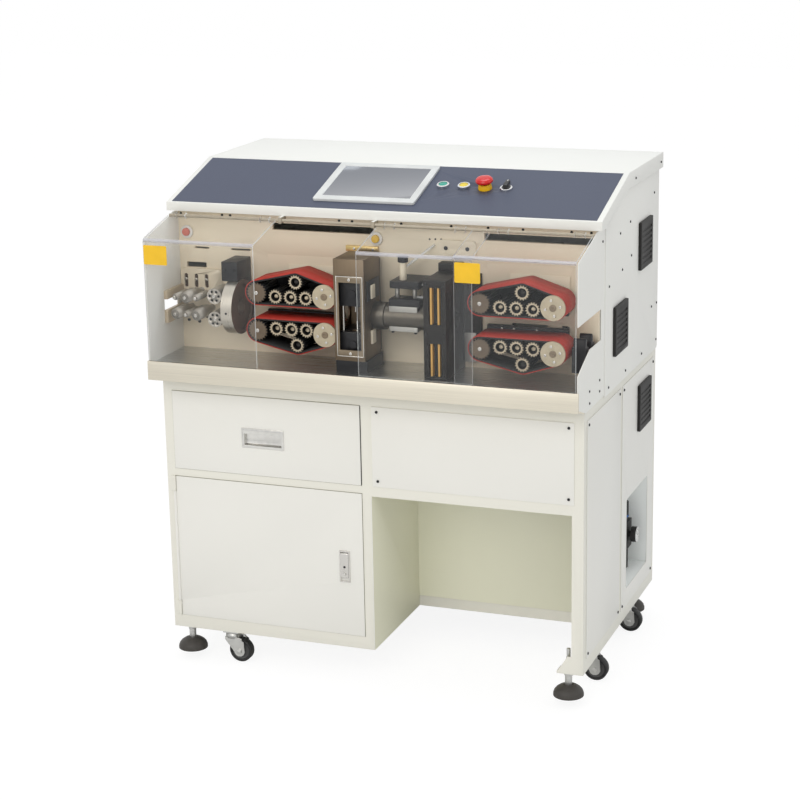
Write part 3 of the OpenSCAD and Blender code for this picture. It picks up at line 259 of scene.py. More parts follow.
def dress(node, finishes, pick=None, edge=0.0, bend=None, cut=None, corner=32):
    """The CAD piece with merged faces, broken edges, and finishes picked by a face's place and direction."""
    source = frame["nodes"][node]
    bm = bmesh.new()
    bm.from_mesh(source.data)
    bmesh.ops.remove_doubles(bm, verts=bm.verts, dist=MERGE)
    if cut:
        bmesh.ops.bisect_plane(bm, geom=bm.verts[:] + bm.edges[:] + bm.faces[:], plane_co=spot(0, cut, 0),
                               plane_no=BACK)
    choose(bm, pick)
    if edge:
        bmesh.ops.dissolve_limit(bm, angle_limit=math.radians(0.4), verts=bm.verts, edges=bm.edges,
                                 delimit={"MATERIAL"})
        if bend:
            bmesh.ops.bevel(bm, geom=[e for e in bm.edges if bend(e)], offset=KNEE_BEND, offset_type="OFFSET",
                            affect="EDGES", segments=5, profile=0.5, material=-1, clamp_overlap=True)
        rims = [e for e in bm.edges if e.is_manifold and e.calc_face_angle(0) > SHARP]
        bmesh.ops.bevel(bm, geom=rims, offset=edge, offset_type="OFFSET", affect="EDGES", segments=2,
                        profile=0.5, material=-1, clamp_overlap=True)
        bm.normal_update()
        choose(bm, pick)
    piece = join(bm, node + "_dressed", finishes, source["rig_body"], corner)
    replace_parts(piece, node)
    return piece


def screw(bm, place, out, radius, height):
    """A socket screw head in millimetres: a round head with a broken rim and a sunk socket."""
    out = Vector(out)
    seat = Matrix.Translation(spot(*place)) @ out.to_track_quat("Z", "Y").to_matrix().to_4x4()
    head = bmesh.ops.create_cone(bm, cap_ends=True, segments=14, radius1=radius / 1000, radius2=radius / 1000,
                                 depth=height / 1000, matrix=seat @ Matrix.Translation((0, 0, height / 2000)))

    def top_of(verts):
        return max({f for v in verts for f in v.link_faces}, key=lambda f: f.calc_center_median().dot(out))

    rim = bmesh.ops.bevel(bm, geom=list(top_of(head["verts"]).edges), offset=radius * 0.0002,
                          offset_type="OFFSET", affect="EDGES", segments=2, profile=0.5, material=-1)
    top = top_of(rim["verts"])
    bmesh.ops.inset_individual(bm, faces=[top], thickness=radius * 0.00035, depth=0)
    bmesh.ops.inset_individual(bm, faces=[top], thickness=radius * 0.0001, depth=-height * 0.0005)


def screws(name, made, seats, body="machine"):
    """A set of screws as one piece. Each seat is a place, a direction, a radius and a height."""
    bm = bmesh.new()
    for seat in seats:
        screw(bm, *seat)
    join(bm, name, [made], body)


def block(bm, low, high, edge=0.6):
    """A box between two corners in millimetres, with broken edges."""
    first, last = spot(*low), spot(*high)
    made = bmesh.ops.create_cube(bm, size=1, matrix=Matrix.Translation((first + last) / 2) @ Matrix.Diagonal(
        (*(last - first), 1)))
    if edge:
        bmesh.ops.bevel(bm, geom=list({e for v in made["verts"] for e in v.link_edges}), offset=edge / 1000,
                        offset_type="OFFSET", affect="EDGES", segments=2, profile=0.5, material=-1)


def blocks(name, made, corners, edge=0.6, body="machine"):
    """Boxes as one piece, each between two corners."""
    bm = bmesh.new()
    for low, high in corners:
        block(bm, low, high, edge)
    join(bm, name, [made], body)


def in_kneehole(c, n):
    return int(c.z < 525 and 0 < c.x < 555 and c.y > 2 and (n.x > 0.5 or n.y < -0.5))


frame_coat = powder_coat("cream_powder_coat", (0.80, 0.785, 0.71))
sheet_coat = powder_coat("off_white_powder_coat", (0.82, 0.81, 0.765))
# The kneehole coat is a brighter, yellower copy of the sheet paint on the same panels; it paints the warm
# shade and bounced light inside the kneehole.
kneehole_shade_tint_coat = powder_coat("kneehole_painted_shade_tint", (0.87, 0.865, 0.70))
screw_black = black_steel("black_screw")
dress("stand_frame", [frame_coat], edge=0.0012)
dress("stand_panels", [sheet_coat, kneehole_shade_tint_coat], in_kneehole, edge=0.0005)
SHEET_SCREW = (3.6, 2.2)
SIDE_X, REAR_Y = 562.5, 720
seats = [((x, -2, z), FRONT, *SHEET_SCREW) for z in (722, 542) for x in (28, 523)]
for side in (-1, 1):
    seats += [((side * SIDE_X, y, z), (side, 0, 0), *SHEET_SCREW)
              for y in (36, 331, 373, 682) for z in (133, 723)]
seats += [((x, REAR_Y, z), BACK, *SHEET_SCREW) for x in (-530, -265, 0, 265, 530) for z in (106, 742)]
screws("stand_screws", screw_black, seats)
blocks("front_panel_backing", frame_coat, [((7.5, 0.2, 530), (21.5, 2, 730))], 0)

# Behind the side window lies a white pocket that is folded from thin sheet. It is open to the side, and the
# air regulator sits in it.
SHEET = 2
POCKET_WALL, POCKET_MOUTH = 480.5, 560.3
POCKET_FROM, POCKET_TO, POCKET_LOW, POCKET_HIGH = 411, 640, 166, 418
corners = [((POCKET_WALL - SHEET, POCKET_FROM, POCKET_LOW), (POCKET_WALL, POCKET_TO, POCKET_HIGH))]
for y in (POCKET_FROM, POCKET_TO - SHEET):
    corners.append(((POCKET_WALL, y, POCKET_LOW), (POCKET_MOUTH, y + SHEET, POCKET_HIGH)))
for z in (POCKET_LOW, POCKET_HIGH - SHEET):
    corners.append(((POCKET_WALL, POCKET_FROM + SHEET, z), (POCKET_MOUTH, POCKET_TO - SHEET, z + SHEET)))
blocks("regulator_pocket", powder_coat("pocket_white", (0.93, 0.95, 0.93)), corners, 0.3)

# The fronts of the drawer and the door overlap the frame. Thin dark olive strips in the gap behind their
# edges paint the shadow there, and show as a line round each front.


def satin(name, colour, metal, grain, swing, least, detail=2.0, extras=()):
    """A plain finish whose gloss drifts: noise adds up to the swing to the least roughness."""
    made, lay, shader, place = finish(name, colour, least, metal, extras)
    (noise(lay, place, grain, detail) * swing + least).to(shader, "Roughness")
    return made


GAP_SHADOW_FROM, GAP_SHADOW_TO, GAP_SHADOW_HALF = -0.4, 0.1, 1
gap_shadow_olive = satin("gap_shadow_olive", (0.20, 0.19, 0.13), 0.0, 40.0, 0.2, 0.6)
corners = []
for left, right, low, high in ((-535.5, -17.5, 527, 735), (-537, -16.5, 121, 505)):
    for x0, x1, z0, z1 in ((left, right, low, low), (left, right, high, high), (left, left, low, high),
                           (right, right, low, high)):
        corners.append(((x0 - GAP_SHADOW_HALF, GAP_SHADOW_FROM, z0 - GAP_SHADOW_HALF),
                        (x1 + GAP_SHADOW_HALF, GAP_SHADOW_TO, z1 + GAP_SHADOW_HALF)))
blocks("front_gap_shadows", gap_shadow_olive, corners, 0)
# A wider black strip paints the deeper shadow in the gap at the drawer's right edge.
blocks("drawer_side_gap", screw_black, [((-18, -0.42, 528), (-15.4, GAP_SHADOW_TO, 734))], 0)

# The drawer is a folded box with a flush front. Its pull is a pressed bright cup with a flange, set into the
# front from outside.


def ground_steel(name, colour, rough, metal=1.0):
    """Ground or turned steel with a faint mottle; less metallic where it is dull or oily."""
    made, lay, shader, place = finish(name, colour, rough, metal)
    mottle = noise(lay, place, 80.0, 4.0)
    between(lay, mottle, shade(colour, 0.82), shade(colour, 1.15)).to(shader, "Base Color")
    (mottle * 0.22 + (rough - 0.1)).to(shader, "Roughness")
    return made


pull_chrome = ground_steel("pull_chrome", (0.70, 0.69, 0.66), 0.2)
dress("drawer_box", [sheet_coat], edge=0.0006)
dress("drawer_pull", [pull_chrome], edge=0.0006)

# The cabinet door hangs on a knuckle hinge at its left edge. A flush swing lock with a round push button and
# a key cylinder sits near its right edge.
LOCK_LEFT, LOCK_RIGHT, LOCK_LOW, LOCK_HIGH = -80.5, -52.5, 265, 349
LOCK_MID, PADDLE_FRONT = (LOCK_LEFT + LOCK_RIGHT) / 2, -7.2
lock_chrome = satin("satin_chrome", (0.66, 0.64, 0.61), 1.0, 60.0, 0.18, 0.16, 3.0)


def in_lock_frame(c, n):
    return int(LOCK_LEFT - 1 < c.x < LOCK_RIGHT + 1 and c.y < -2.6 and LOCK_LOW - 1 < c.z < LOCK_HIGH + 1)


dress("cabinet_door", [sheet_coat, lock_chrome], in_lock_frame, edge=0.0005)
dress("lock_paddle", [lock_chrome], edge=0.0005)
screws("lock_cylinder", pull_chrome, [((LOCK_MID, PADDLE_FRONT, 287), FRONT, 3.6, 2.0)], "lock")
screws("lock_button", screw_black, [((LOCK_MID, PADDLE_FRONT, 306), FRONT, 3.4, 0.8)], "lock")

# Four levelling feet: a moulded black pad on a threaded zinc stem with a lock nut and a sleeve. The plates of
# the castors are zinc too.
zinc, zinc_lay, zinc_shader, zinc_place = finish("zinc_plate", (0.60, 0.60, 0.59), 0.34, 1.0)
zinc_stain = noise(zinc_lay, zinc_place, 45.0, 4.0)
between(zinc_lay, zinc_stain, (0.5, 0.5, 0.49), (0.68, 0.68, 0.66)).to(zinc_shader, "Base Color")
(zinc_stain * 0.25 + 0.25).to(zinc_shader, "Roughness")


def moulded(name, colour, rough=0.5):
    """Moulded plastic or rubber: a fine spark grain and a slow drift of gloss."""
    made, lay, shader, place = finish(name, colour, rough, extras={"Specular IOR Level": 0.3})
    drift = noise(lay, place, 14.0)
    between(lay, drift, shade(colour, 0.8), shade(colour, 1.25)).to(shader, "Base Color")
    (drift * 0.2 + (rough - 0.1)).to(shader, "Roughness")
    relief(lay, shader, noise(lay, place, 700.0, 1.0), 0.15, 0.0003)
    return made


def rod(bm, start, end, radius, edge=0.6, sides=40):
    """A round bar between two points in millimetres, with broken rims."""
    first, last = spot(*start), spot(*end)
    along = (last - first).to_track_quat("Z", "Y").to_matrix().to_4x4()
    made = bmesh.ops.create_cone(bm, cap_ends=True, segments=sides, radius1=radius / 1000,
                                 radius2=radius / 1000, depth=(last - first).length,
                                 matrix=Matrix.Translation((first + last) / 2) @ along)
    rims = [e for e in {e for v in made["verts"] for e in v.link_edges} if e.calc_face_angle(0) > 1]
    bmesh.ops.bevel(bm, geom=rims, offset=edge / 1000, offset_type="OFFSET", affect="EDGES", segments=2,
                    profile=0.5, material=-1)


def revolve(bm, points, centre, axis, steps, ring=False):
    """Spins a line of points round an axis; the line of a ring is closed first."""
    line = [bm.verts.new(point) for point in points]
    edges = [bm.edges.new(pair) for pair in zip(line, line[1:] + line[:1] if ring else line[1:])]
    bmesh.ops.spin(bm, geom=line + edges, cent=centre, axis=axis, dvec=(0, 0, 0), angle=math.tau, steps=steps,
                   use_merge=True)


def close_seams(bm):
    """Merges the doubles of spun shells and turns their faces outwards."""
    bmesh.ops.remove_doubles(bm, verts=bm.verts, dist=1e-6)
    bmesh.ops.recalc_face_normals(bm, faces=bm.faces)


foot_black = moulded("foot_black", (0.06, 0.055, 0.05), 0.5)
dress("floor_fittings", [foot_black, zinc], lambda c, n: 0 if c.z < 63 and abs(c.x) > 470 else 1, edge=0.0008)
FOOT_X, FOOT_FRONT, FOOT_REAR = 518.5, 18, 643
FEET = [(side * FOOT_X, y) for side in (-1, 1) for y in (FOOT_FRONT, FOOT_REAR)]
DOME = ((0, 24), (38.4, 24), (38.4, 30), (36, 37), (31, 43), (24, 48), (17, 51.5), (12, 53), (0, 53))
SLEEVE_R, SLEEVE_LOW, SLEEVE_HIGH, STEM_R = 9, 52, 86, 5
bm = bmesh.new()
for x, y in FEET:
    revolve(bm, [spot(x + r, y, z) for r, z in DOME], spot(x, y, 0), (0, 0, 1), 48)
close_seams(bm)
join(bm, "foot_domes", [foot_black], "machine", 40)
bm = bmesh.new()
for x, y in FEET:
    rod(bm, (x, y, SLEEVE_LOW), (x, y, SLEEVE_HIGH), SLEEVE_R)
rod(bm, (FOOT_X, FOOT_FRONT, 110), (FOOT_X, FOOT_FRONT, 148), STEM_R)
join(bm, "foot_sleeves", [zinc], "machine")

# Swivel castors: a pressed zinc fork with broad cheeks under a plate, a hexagon nut at each end of the axle,
# and a black rubber wheel.


def thicken(bm, flat, shift):
    """Pulls flat faces out by a shift in metres, into a closed plate."""
    lift = bmesh.ops.extrude_face_region(bm, geom=flat)
    bmesh.ops.translate(bm, verts=[v for v in lift["geom"] if isinstance(v, bmesh.types.BMVert)], vec=shift)


wheel_black = moulded("wheel_rubber", (0.028, 0.028, 0.028), 0.55)
hub_grey = moulded("hub_grey", (0.10, 0.10, 0.10), 0.45)
WHEEL_AXLES = ((-378.5, 24), (543.5, 190.5), (-378.5, 694), (543.5, 545))
AXLE_UP, HUB_R, NUT_R = 31.5, 21, 7
CHEEK_OUT, NUT_FROM, NUT_TO = 16.6, 18, 22.4
CHEEK = ((-40, 69), (-40, 62), (-15, 29.5), (-11, 21.5), (-4, 17.5), (4, 17.5), (11, 21.5), (15, 29.5),
         (13, 58), (-4, 69))
for k, (x, y) in enumerate(WHEEL_AXLES, 1):
    dress(f"castor_fork_{k}", [zinc])
    dress(f"castor_wheel_{k}", [wheel_black, hub_grey],
          lambda c, n, x=x: int(math.hypot(c.x - x, c.z - AXLE_UP) < HUB_R))
    bm = bmesh.new()
    for side in (-1, 1):
        rim = [bm.verts.new(spot(x + across, y + side * CHEEK_OUT, z)) for across, z in CHEEK]
        thicken(bm, [bm.faces.new(rim)], (0, side * 0.0015, 0))
        rod(bm, (x, y + side * NUT_FROM, AXLE_UP), (x, y + side * NUT_TO, AXLE_UP), NUT_R, sides=6)
    bmesh.ops.recalc_face_normals(bm, faces=bm.faces)
    join(bm, f"castor_cheeks_{k}", [zinc], frame["nodes"][f"castor_fork_{k}"]["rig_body"])

# The tray is one folded stainless sheet, brushed along its length. Its front edge is turned down into an
# apron that lies over the stand.


def brushed(name, colour, stretch, rough=0.3):
    """Brushed metal: fine streaks across the stretched directions, with a slow cloud over them."""
    made, lay, shader, place = finish(name, colour, rough, 1.0)
    lines = lay.node("VectorMath", {"operation": "MULTIPLY"}, {0: place, 1: stretch})
    streak = noise(lay, lines, 1.0, 3.0)
    cloudy = streak * 0.7 + noise(lay, place, 6.0) * 0.3
    between(lay, cloudy, shade(colour, 0.84), shade(colour, 1.12)).to(shader, "Base Color")
    (streak * 0.22 + (rough - 0.1)).to(shader, "Roughness")
    relief(lay, shader, streak, 0.05, 0.0003)
    return made


ALONG_TRAY = (4, 600, 600)
# The one sheet gets two tones by face direction, matched to how each catches the light: a warm beige on the
# apron and a cooler grey on the floor. The difference is painted light, not two finishes.
apron_steel_painted_light = brushed("apron_stainless_painted_light", (0.76, 0.71, 0.60), ALONG_TRAY, 0.4)
tray_floor_steel_painted_light = brushed("tray_floor_stainless_painted_light", (0.74, 0.75, 0.75), ALONG_TRAY, 0.28)
dress("steel_tray", [apron_steel_painted_light, tray_floor_steel_painted_light], lambda c, n: int(c.y > -68 and n.z > 0.9), edge=0.0006)

# The main plate is thick aluminium painted satin beige. The belt carriers slide on ground rods behind it, a
# bracket plate stands in front of it, and a row of small screws holds it under the hood.
PLATE_FRONT, PLATE_BACK, BRACKET_FRONT = 130, 140, 124.2
plate_beige = powder_coat("satin_beige", (0.76, 0.67, 0.52))
bracket_beige = powder_coat("bracket_beige", (0.70, 0.62, 0.48))
polished = ground_steel("ground_steel", (0.64, 0.62, 0.58), 0.22)
dress("main_plate", [plate_beige, polished, bracket_beige],
      lambda c, n: 1 if c.y > PLATE_BACK + 0.5 else 2 if c.y < PLATE_FRONT - 0.5 else 0, edge=0.0008)
HOOD_ROW = (-552, -435, -412, -260, -112, -77, 54, 185, 280, 369, 491, 540)
PLATE_BOLTS = ((-542, 893), (-512, 890), (-428, 882), (-90, 800), (300, 800), (540, 1060), (540, 800),
               (-545, 800))
seats = [((x, PLATE_FRONT, 1173), FRONT, 3.4, 1.6) for x in HOOD_ROW]
seats += [((x, PLATE_FRONT, z), FRONT, 2.4, 0.8) for x, z in ((128, 1138), (143, 1139), (158, 1139))]
seats += [((x, BRACKET_FRONT, 1119), FRONT, 5.2, 2.2) for x in (172, 228)]
seats += [((x, PLATE_FRONT, z), FRONT, 4.6, 2.0) for x, z in PLATE_BOLTS]
screws("main_plate_screws", screw_black, seats)

# Beige sheets close the feeder openings of the main plate. They leave slots in which the neck and the drive
# shaft of each carrier travel.
FEED_Y, FEED_Z = 64.5, 953
FEEDERS = (("left", -204, 23), ("right", 385, 31))
OPEN_HALF, OPEN_NEAR, OPEN_PAST = 107.5, 13.5, 102
NECK_HALF, NECK_PAST = 46, 76
SHAFT_FROM, SHAFT_TO, SHAFT_PAST = 82.5, 101.5, 53
corners = []
for side, feed_x, run in FEEDERS:
    strips = ((-OPEN_HALF, -NECK_HALF, OPEN_NEAR), (-NECK_HALF, NECK_HALF, run + NECK_PAST),
              (NECK_HALF, SHAFT_FROM, OPEN_NEAR), (SHAFT_FROM, SHAFT_TO, run + SHAFT_PAST),
              (SHAFT_TO, OPEN_HALF, OPEN_NEAR))
    for sign in (1, -1):
        for left, right, near in strips:
            low, high = sorted((FEED_Z + sign * near, FEED_Z + sign * (run + OPEN_PAST)))
            corners.append(((feed_x + left, PLATE_FRONT - 0.2, low),
                            (feed_x + right, PLATE_FRONT + 2.4, high)))
blocks("plate_sheets", plate_beige, corners, 0)

# The side plates, wings, back sheet and hood are folded and powder coated white, and screwed together. A
# steel rod under the lip of the hood carries the covers.
shell_coat = powder_coat("white_powder_coat", (0.83, 0.825, 0.785))
# The rod and the hood's faces under the lip share a dark beige-brown, rough and barely metallic, which paints
# the shadow under the lip in place of bright steel.
hinge_shade_beige = ground_steel("hinge_rod_painted_shade", (0.40, 0.35, 0.27), 0.5, 0.2)
dress("body_panels", [shell_coat], edge=0.0006)
dress("hood_shell", [shell_coat, hinge_shade_beige],
      lambda c, n: int(c.z < 1184.5 and abs(c.x) < 560.5 and c.y < 104.5), edge=0.0012)
SIDE_ROWS = {
    565: ((660, 1186), (408, 1153), (309, 1141), (422, 1064), (332, 1045), (205, 1028), (700, 882),
          (644, 883), (700, 781), (541, 779), (373, 775), (205, 773)),
    SIDE_X: ((129, 811), (129, 783), (37, 806), (38, 776), (150, 1150)),
    575: ((690, 1262), (420, 1262)),
}
BODY_SCREW = (3.2, 1.8)
seats = [((x, 713, z), BACK, *BODY_SCREW) for x in (-540, -270, 0, 270, 540) for z in (790, 1020, 1230)]
for side in (-1, 1):
    for face_x, row in SIDE_ROWS.items():
        seats += [((side * face_x, y, z), (side, 0, 0), *BODY_SCREW) for y, z in row]
screws("body_screws", screw_black, seats)

# Three black fan guards with slats, moulded in one piece each. They are clipped over the vents of the right
# side, two on the body and one on the stand.
guard_black = moulded("guard_black", (0.018, 0.017, 0.016), 0.55)
dress("fan_guards", [guard_black], edge=0.0012)

# A film covers the sloped panel; it is dark blue-grey and finely grained. The touch screen stands on it in a
# pale moulded frame.
OVERLAY = (0.066, 0.077, 0.118)
film, film_lay, film_shader, film_place = finish("overlay_film", OVERLAY, 0.5,
                                                 extras={"Specular IOR Level": 0.3})
film_grain = noise(film_lay, film_place, 380.0, 2.0)
between(film_lay, film_grain * 0.6 + noise(film_lay, film_place, 3.0) * 0.4, shade(OVERLAY, 0.82),
        shade(OVERLAY, 1.25)).to(film_shader, "Base Color")
relief(film_lay, film_shader, film_grain, 0.12, 0.0003)
dress("control_overlay", [film])

LIP_Y, LIP_Z = 96, 1207
SLOPE = math.atan2(78, 262)
OUT_OF_SLOPE = Vector((0, -math.sin(SLOPE), math.cos(SLOPE)))
UP_SLOPE = Vector((0, math.cos(SLOPE), math.sin(SLOPE)))


def on_slope(x, along, out=0.0):
    """A point on the overlay: across, up the slope from the hood lip, and out of it."""
    return spot(x, LIP_Y, LIP_Z) + (UP_SLOPE * along + OUT_OF_SLOPE * (1 + out)) / 1000


def is_glass(c, n):
    """The face of the screen inside its frame, by its direction and its height over the overlay."""
    height = Vector((0, c.y - LIP_Y, c.z - LIP_Z)).dot(OUT_OF_SLOPE) - 1
    return int(n.dot(OUT_OF_SLOPE) > 0.99 and 4 < height < 6.5)


screen_frame = moulded("screen_frame", (0.66, 0.67, 0.66), 0.36)
glass, glass_lay, glass_shader, glass_place = finish("screen_glass", (0.17, 0.18, 0.205), 0.12,
                                                     extras={"Coat Weight": 0.3, "Coat Roughness": 0.06})
between(glass_lay, noise(glass_lay, glass_place, 5.0), (0.16, 0.17, 0.195), (0.185, 0.195, 0.22)).to(
    glass_shader, "Base Color")
dress("touch_screen", [screen_frame, glass], is_glass, edge=0.001)

# Two push buttons, a lever switch and an emergency stop. The buttons and the lever stand in plated bezels,
# and the stop has a yellow collar and white turning marks.


def gloss(name, colour, rough=0.22):
    """Gloss moulding with a thin clear coat."""
    made, lay, shader, place = finish(name, colour, rough,
                                      extras={"Specular IOR Level": 0.35, "Coat Weight": 0.12})
    drift = noise(lay, place, 30.0)
    between(lay, drift, shade(colour, 0.88), shade(colour, 1.1)).to(shader, "Base Color")
    (drift * 0.12 + (rough - 0.06)).to(shader, "Roughness")
    return made


ROW_ALONG = 150
START_X, STOP_X, EMERGENCY_X, LEVER_X = 127, 182, 237, 292
COLLAR_R, BEZEL_IN, BEZEL_OUT, BEZEL_RIM = 22, 11.7, 15.8, 1.2
chrome = satin("chrome_ring", (0.78, 0.78, 0.78), 1.0, 90.0, 0.12, 0.06)
button_yellow = gloss("button_yellow", (0.80, 0.60, 0.025))
collar_yellow = gloss("collar_yellow", (0.88, 0.50, 0.012))
mark_white = gloss("mark_white", (0.75, 0.75, 0.73), 0.4)
dress("button_bezels", [chrome, collar_yellow], lambda c, n: int(abs(c.x - EMERGENCY_X) < COLLAR_R),
      edge=0.0005)
bm = bmesh.new()
for x, rise in ((START_X, 8.8), (STOP_X, 8.8), (LEVER_X, 6.6)):
    section = ((BEZEL_IN, 0), (BEZEL_OUT, 0), (BEZEL_OUT, rise - BEZEL_RIM), (BEZEL_OUT - BEZEL_RIM, rise),
               (BEZEL_IN, rise))
    revolve(bm, [on_slope(x + r, ROW_ALONG, up) for r, up in section], on_slope(x, ROW_ALONG), OUT_OF_SLOPE,
            48, ring=True)
close_seams(bm)
join(bm, "bezel_sleeves", [chrome], "machine")
dress("start_button", [gloss("button_green", (0.012, 0.33, 0.24))], edge=0.0007)
dress("stop_button", [button_yellow], edge=0.0007)
dress("emergency_stop", [gloss("stop_red", (0.62, 0.012, 0.012))])
dress("selector_knob", [moulded("lever_black", (0.03, 0.03, 0.03), 0.4)], edge=0.001)
bm = bmesh.new()
on_lever = Matrix.Translation(on_slope(LEVER_X, ROW_ALONG + 19, 15.9)) @ Matrix.Rotation(SLOPE, 4, "X")
bmesh.ops.create_cube(bm, size=1, matrix=on_lever @ Matrix.Diagonal((0.002, 0.007, 0.0006, 1)))
bmesh.ops.bevel(bm, geom=bm.edges, offset=0.0002, offset_type="OFFSET", affect="EDGES", segments=1,
                profile=0.5, material=-1)
join(bm, "lever_mark", [mark_white], "selector")
bm = bmesh.new()
on_stop = Matrix.Translation(on_slope(EMERGENCY_X, ROW_ALONG, 28.2)) @ Matrix.Rotation(SLOPE, 4, "X")
stroke = Matrix.Translation((0.0145, 0, 0)) @ Matrix.Rotation(math.radians(90), 4, "X") @ Matrix.Diagonal(
    (0.003, 0.0016, 1, 1))
for k in range(3):
    turned = on_stop @ Matrix.Rotation(math.radians(120 * k), 4, "Z")
    start = bmesh.ops.create_grid(bm, x_segments=1, y_segments=1, size=0.5, matrix=turned @ stroke)
    bmesh.ops.spin(bm, geom=list({f for v in start["verts"] for f in v.link_faces}), cent=turned.translation,
                   axis=OUT_OF_SLOPE, dvec=(0, 0, 0), angle=math.radians(62), steps=8, use_merge=False)
bmesh.ops.recalc_face_normals(bm, faces=bm.faces)
join(bm, "stop_turn_marks", [mark_white], "button_emergency")

# Two signal lamps on the main plate. Each is a coloured lens, moulded with a flange, in a white ring that is
# set on the plate.
LENS_FOOT, LAMP_RING_R, LAMP_RING_FRONT = 124.9, 17, 124.6
ring_white = gloss("lamp_ring", (0.72, 0.70, 0.66), 0.35)
lens_red = gloss("lens_red", (0.56, 0.16, 0.12), 0.2)
lens_yellow = gloss("lens_yellow", (0.72, 0.45, 0.05), 0.2)
dress("indicator_lamps", [ring_white, lens_red, lens_yellow],
      lambda c, n: 0 if c.y > LENS_FOOT else 1 if c.x < -300 else 2, edge=0.0012)
bm = bmesh.new()
for x, z in ((-536, 1126), (-13, 1133)):
    rod(bm, (x, PLATE_FRONT, z), (x, LAMP_RING_FRONT, z), LAMP_RING_R, 1.4)
join(bm, "lamp_rings", [ring_white], "machine")

# Three covers of bent clear acrylic hang on one rod under the hood lip. Their sawn edges are frosted and are
# coloured pale to paint the highlight they catch, and a grey-lilac strip on the widened bend paints the
# highlight along the knee. A plain yellow plate is stuck to two of them.
acrylic = satin("clear_acrylic", (0.70, 0.73, 0.75), 0.0, 12.0, 0.05, 0.03, extras={"Alpha": 0.025})
# The pale edge colour is partly the frosting of the sawn edges and partly a painted highlight; the bend's
# colour is a painted highlight.
sawn_frost_and_highlight = satin("acrylic_edge_frost_and_painted_highlight", (0.86, 0.88, 0.88), 0.0, 300.0, 0.2, 0.2, extras={"Alpha": 0.6})
bend_painted_highlight = satin("acrylic_bend_painted_highlight", (0.60, 0.60, 0.67), 0.0, 40.0, 0.1, 0.08, extras={"Alpha": 0.45})


def cover_finish(c, n):
    if abs(n.x) > 0.5 or n.z < -0.9 and c.z < 850:
        return 1
    return 2 if 0.08 < abs(n.z) < 0.96 and c.y < 0 else 0


def knee_of_cover(e):
    first, last = (v.co for v in e.verts)
    return abs(first.x - last.x) > 0.15 and first.z > 1.1 and first.y < STAND_FRONT


for side in ("left", "middle", "right"):
    dress(f"{side}_cover", [acrylic, sawn_frost_and_highlight, bend_painted_highlight], cover_finish, 0.0016, knee_of_cover)
LABEL_SIZE = Matrix.Diagonal((0.064, 0.0004, 0.049, 1))
label = gloss("label_yellow", (0.86, 0.52, 0.02), 0.4)
for side, x in (("left", -526), ("right", 294)):
    bm = bmesh.new()
    bmesh.ops.create_cube(bm, size=1, matrix=Matrix.Translation(spot(x, -74.2, 1103)) @ LABEL_SIZE)
    uprights = [e for e in bm.edges if abs((e.verts[0].co - e.verts[1].co).y) > 1e-4]
    bmesh.ops.bevel(bm, geom=uprights, offset=0.003, offset_type="OFFSET", affect="EDGES", segments=4,
                    profile=0.5, material=-1)
    join(bm, f"{side}_cover_plate", [label], f"cover_{side}")

# Straightening rollers in two rows of three on a beige sub-plate. Each turns on a bolt, and the upper row is
# set in slots. Two tan jaws narrow the window of the left wing in front of them.
ROLLER_XS, SLOT_XS = [-499 + 29 * i for i in (-1, 0, 1)], [-513 + 29 * i for i in (-1, 0, 1)]
ROLLER_UP, ROLLER_FRONT, WASHER_FRONT = 22, 25.2, 24.2
WIDE_WASHER, SMALL_WASHER = 10.5, 6.2
roller_steel = ground_steel("roller_steel", (0.46, 0.43, 0.38), 0.42, 0.6)
dress("straightener", [roller_steel, plate_beige], lambda c, n: int(c.y > 123.8))
blocks("inlet_jaws", powder_coat("inlet_tan", (0.50, 0.41, 0.29)),
       [((-559.7, 27.5, low), (-550, PLATE_FRONT, high)) for low, high in ((905.5, 939), (967, 988.5))])
bm = bmesh.new()
for x in ROLLER_XS:
    for sign in (-1, 1):
        z = FEED_Z + ROLLER_UP * sign
        wide = (sign > 0) == (x == ROLLER_XS[1])
        rod(bm, (x, ROLLER_FRONT, z), (x, WASHER_FRONT, z), WIDE_WASHER if wide else SMALL_WASHER, 0.3)
join(bm, "roller_washers", [ground_steel("washer_steel", (0.20, 0.185, 0.16), 0.45, 0.4)], "machine")
seats = [((x, WASHER_FRONT, FEED_Z + z), FRONT, 4.6, 3.0) for x in ROLLER_XS for z in (-ROLLER_UP, ROLLER_UP)]
seats += [((x, 129, 1003), FRONT, 4.0, 8.0) for x in SLOT_XS]
screws("roller_bolts", polished, seats)
# The dark brown sheets in the slots of the upper row, and the pins below, paint the shade inside the slots,
# warmed by a painted reflection of the orange cable.
bm = bmesh.new()
for x in SLOT_XS:
    block(bm, (x - 4.8, 127.4, 981.2), (x + 4.8, 129.8, 1016.8), 0)
    screw(bm, (x, 124, 905), FRONT, 3.2, 6.0)
join(bm, "roller_slot_shade", [moulded("slot_painted_shade_brown", (0.07, 0.045, 0.03), 0.7)], "machine")

# Two measuring rollers of turned steel, with six lightening holes and a centre bolt each. They turn on shafts
# through the main plate.
MEASURE_X, MEASURE_FRONT, HOLE_RING = -418, 28, 17
# The walls and floors of the hollows within the hole ring are near-black: painted shade in them, not a second
# metal.
measure_hole_shade = black_steel("measure_hole_shade", (0.05, 0.05, 0.05), 0.5)
for row, z in (("upper", 983), ("lower", 923)):
    dress(f"{row}_measure_roller", [roller_steel, measure_hole_shade],
          lambda c, n, z=z: int(27.5 < c.y < 34.5 and math.hypot(c.x - MEASURE_X, c.z - z) < HOLE_RING
                                and (abs(n.y) < 0.5 or c.y > 30)))
    screws(f"{row}_roller_bolt", polished, [((MEASURE_X, MEASURE_FRONT, z), FRONT, 4.0, 3.0)],
           f"measure_{row}")

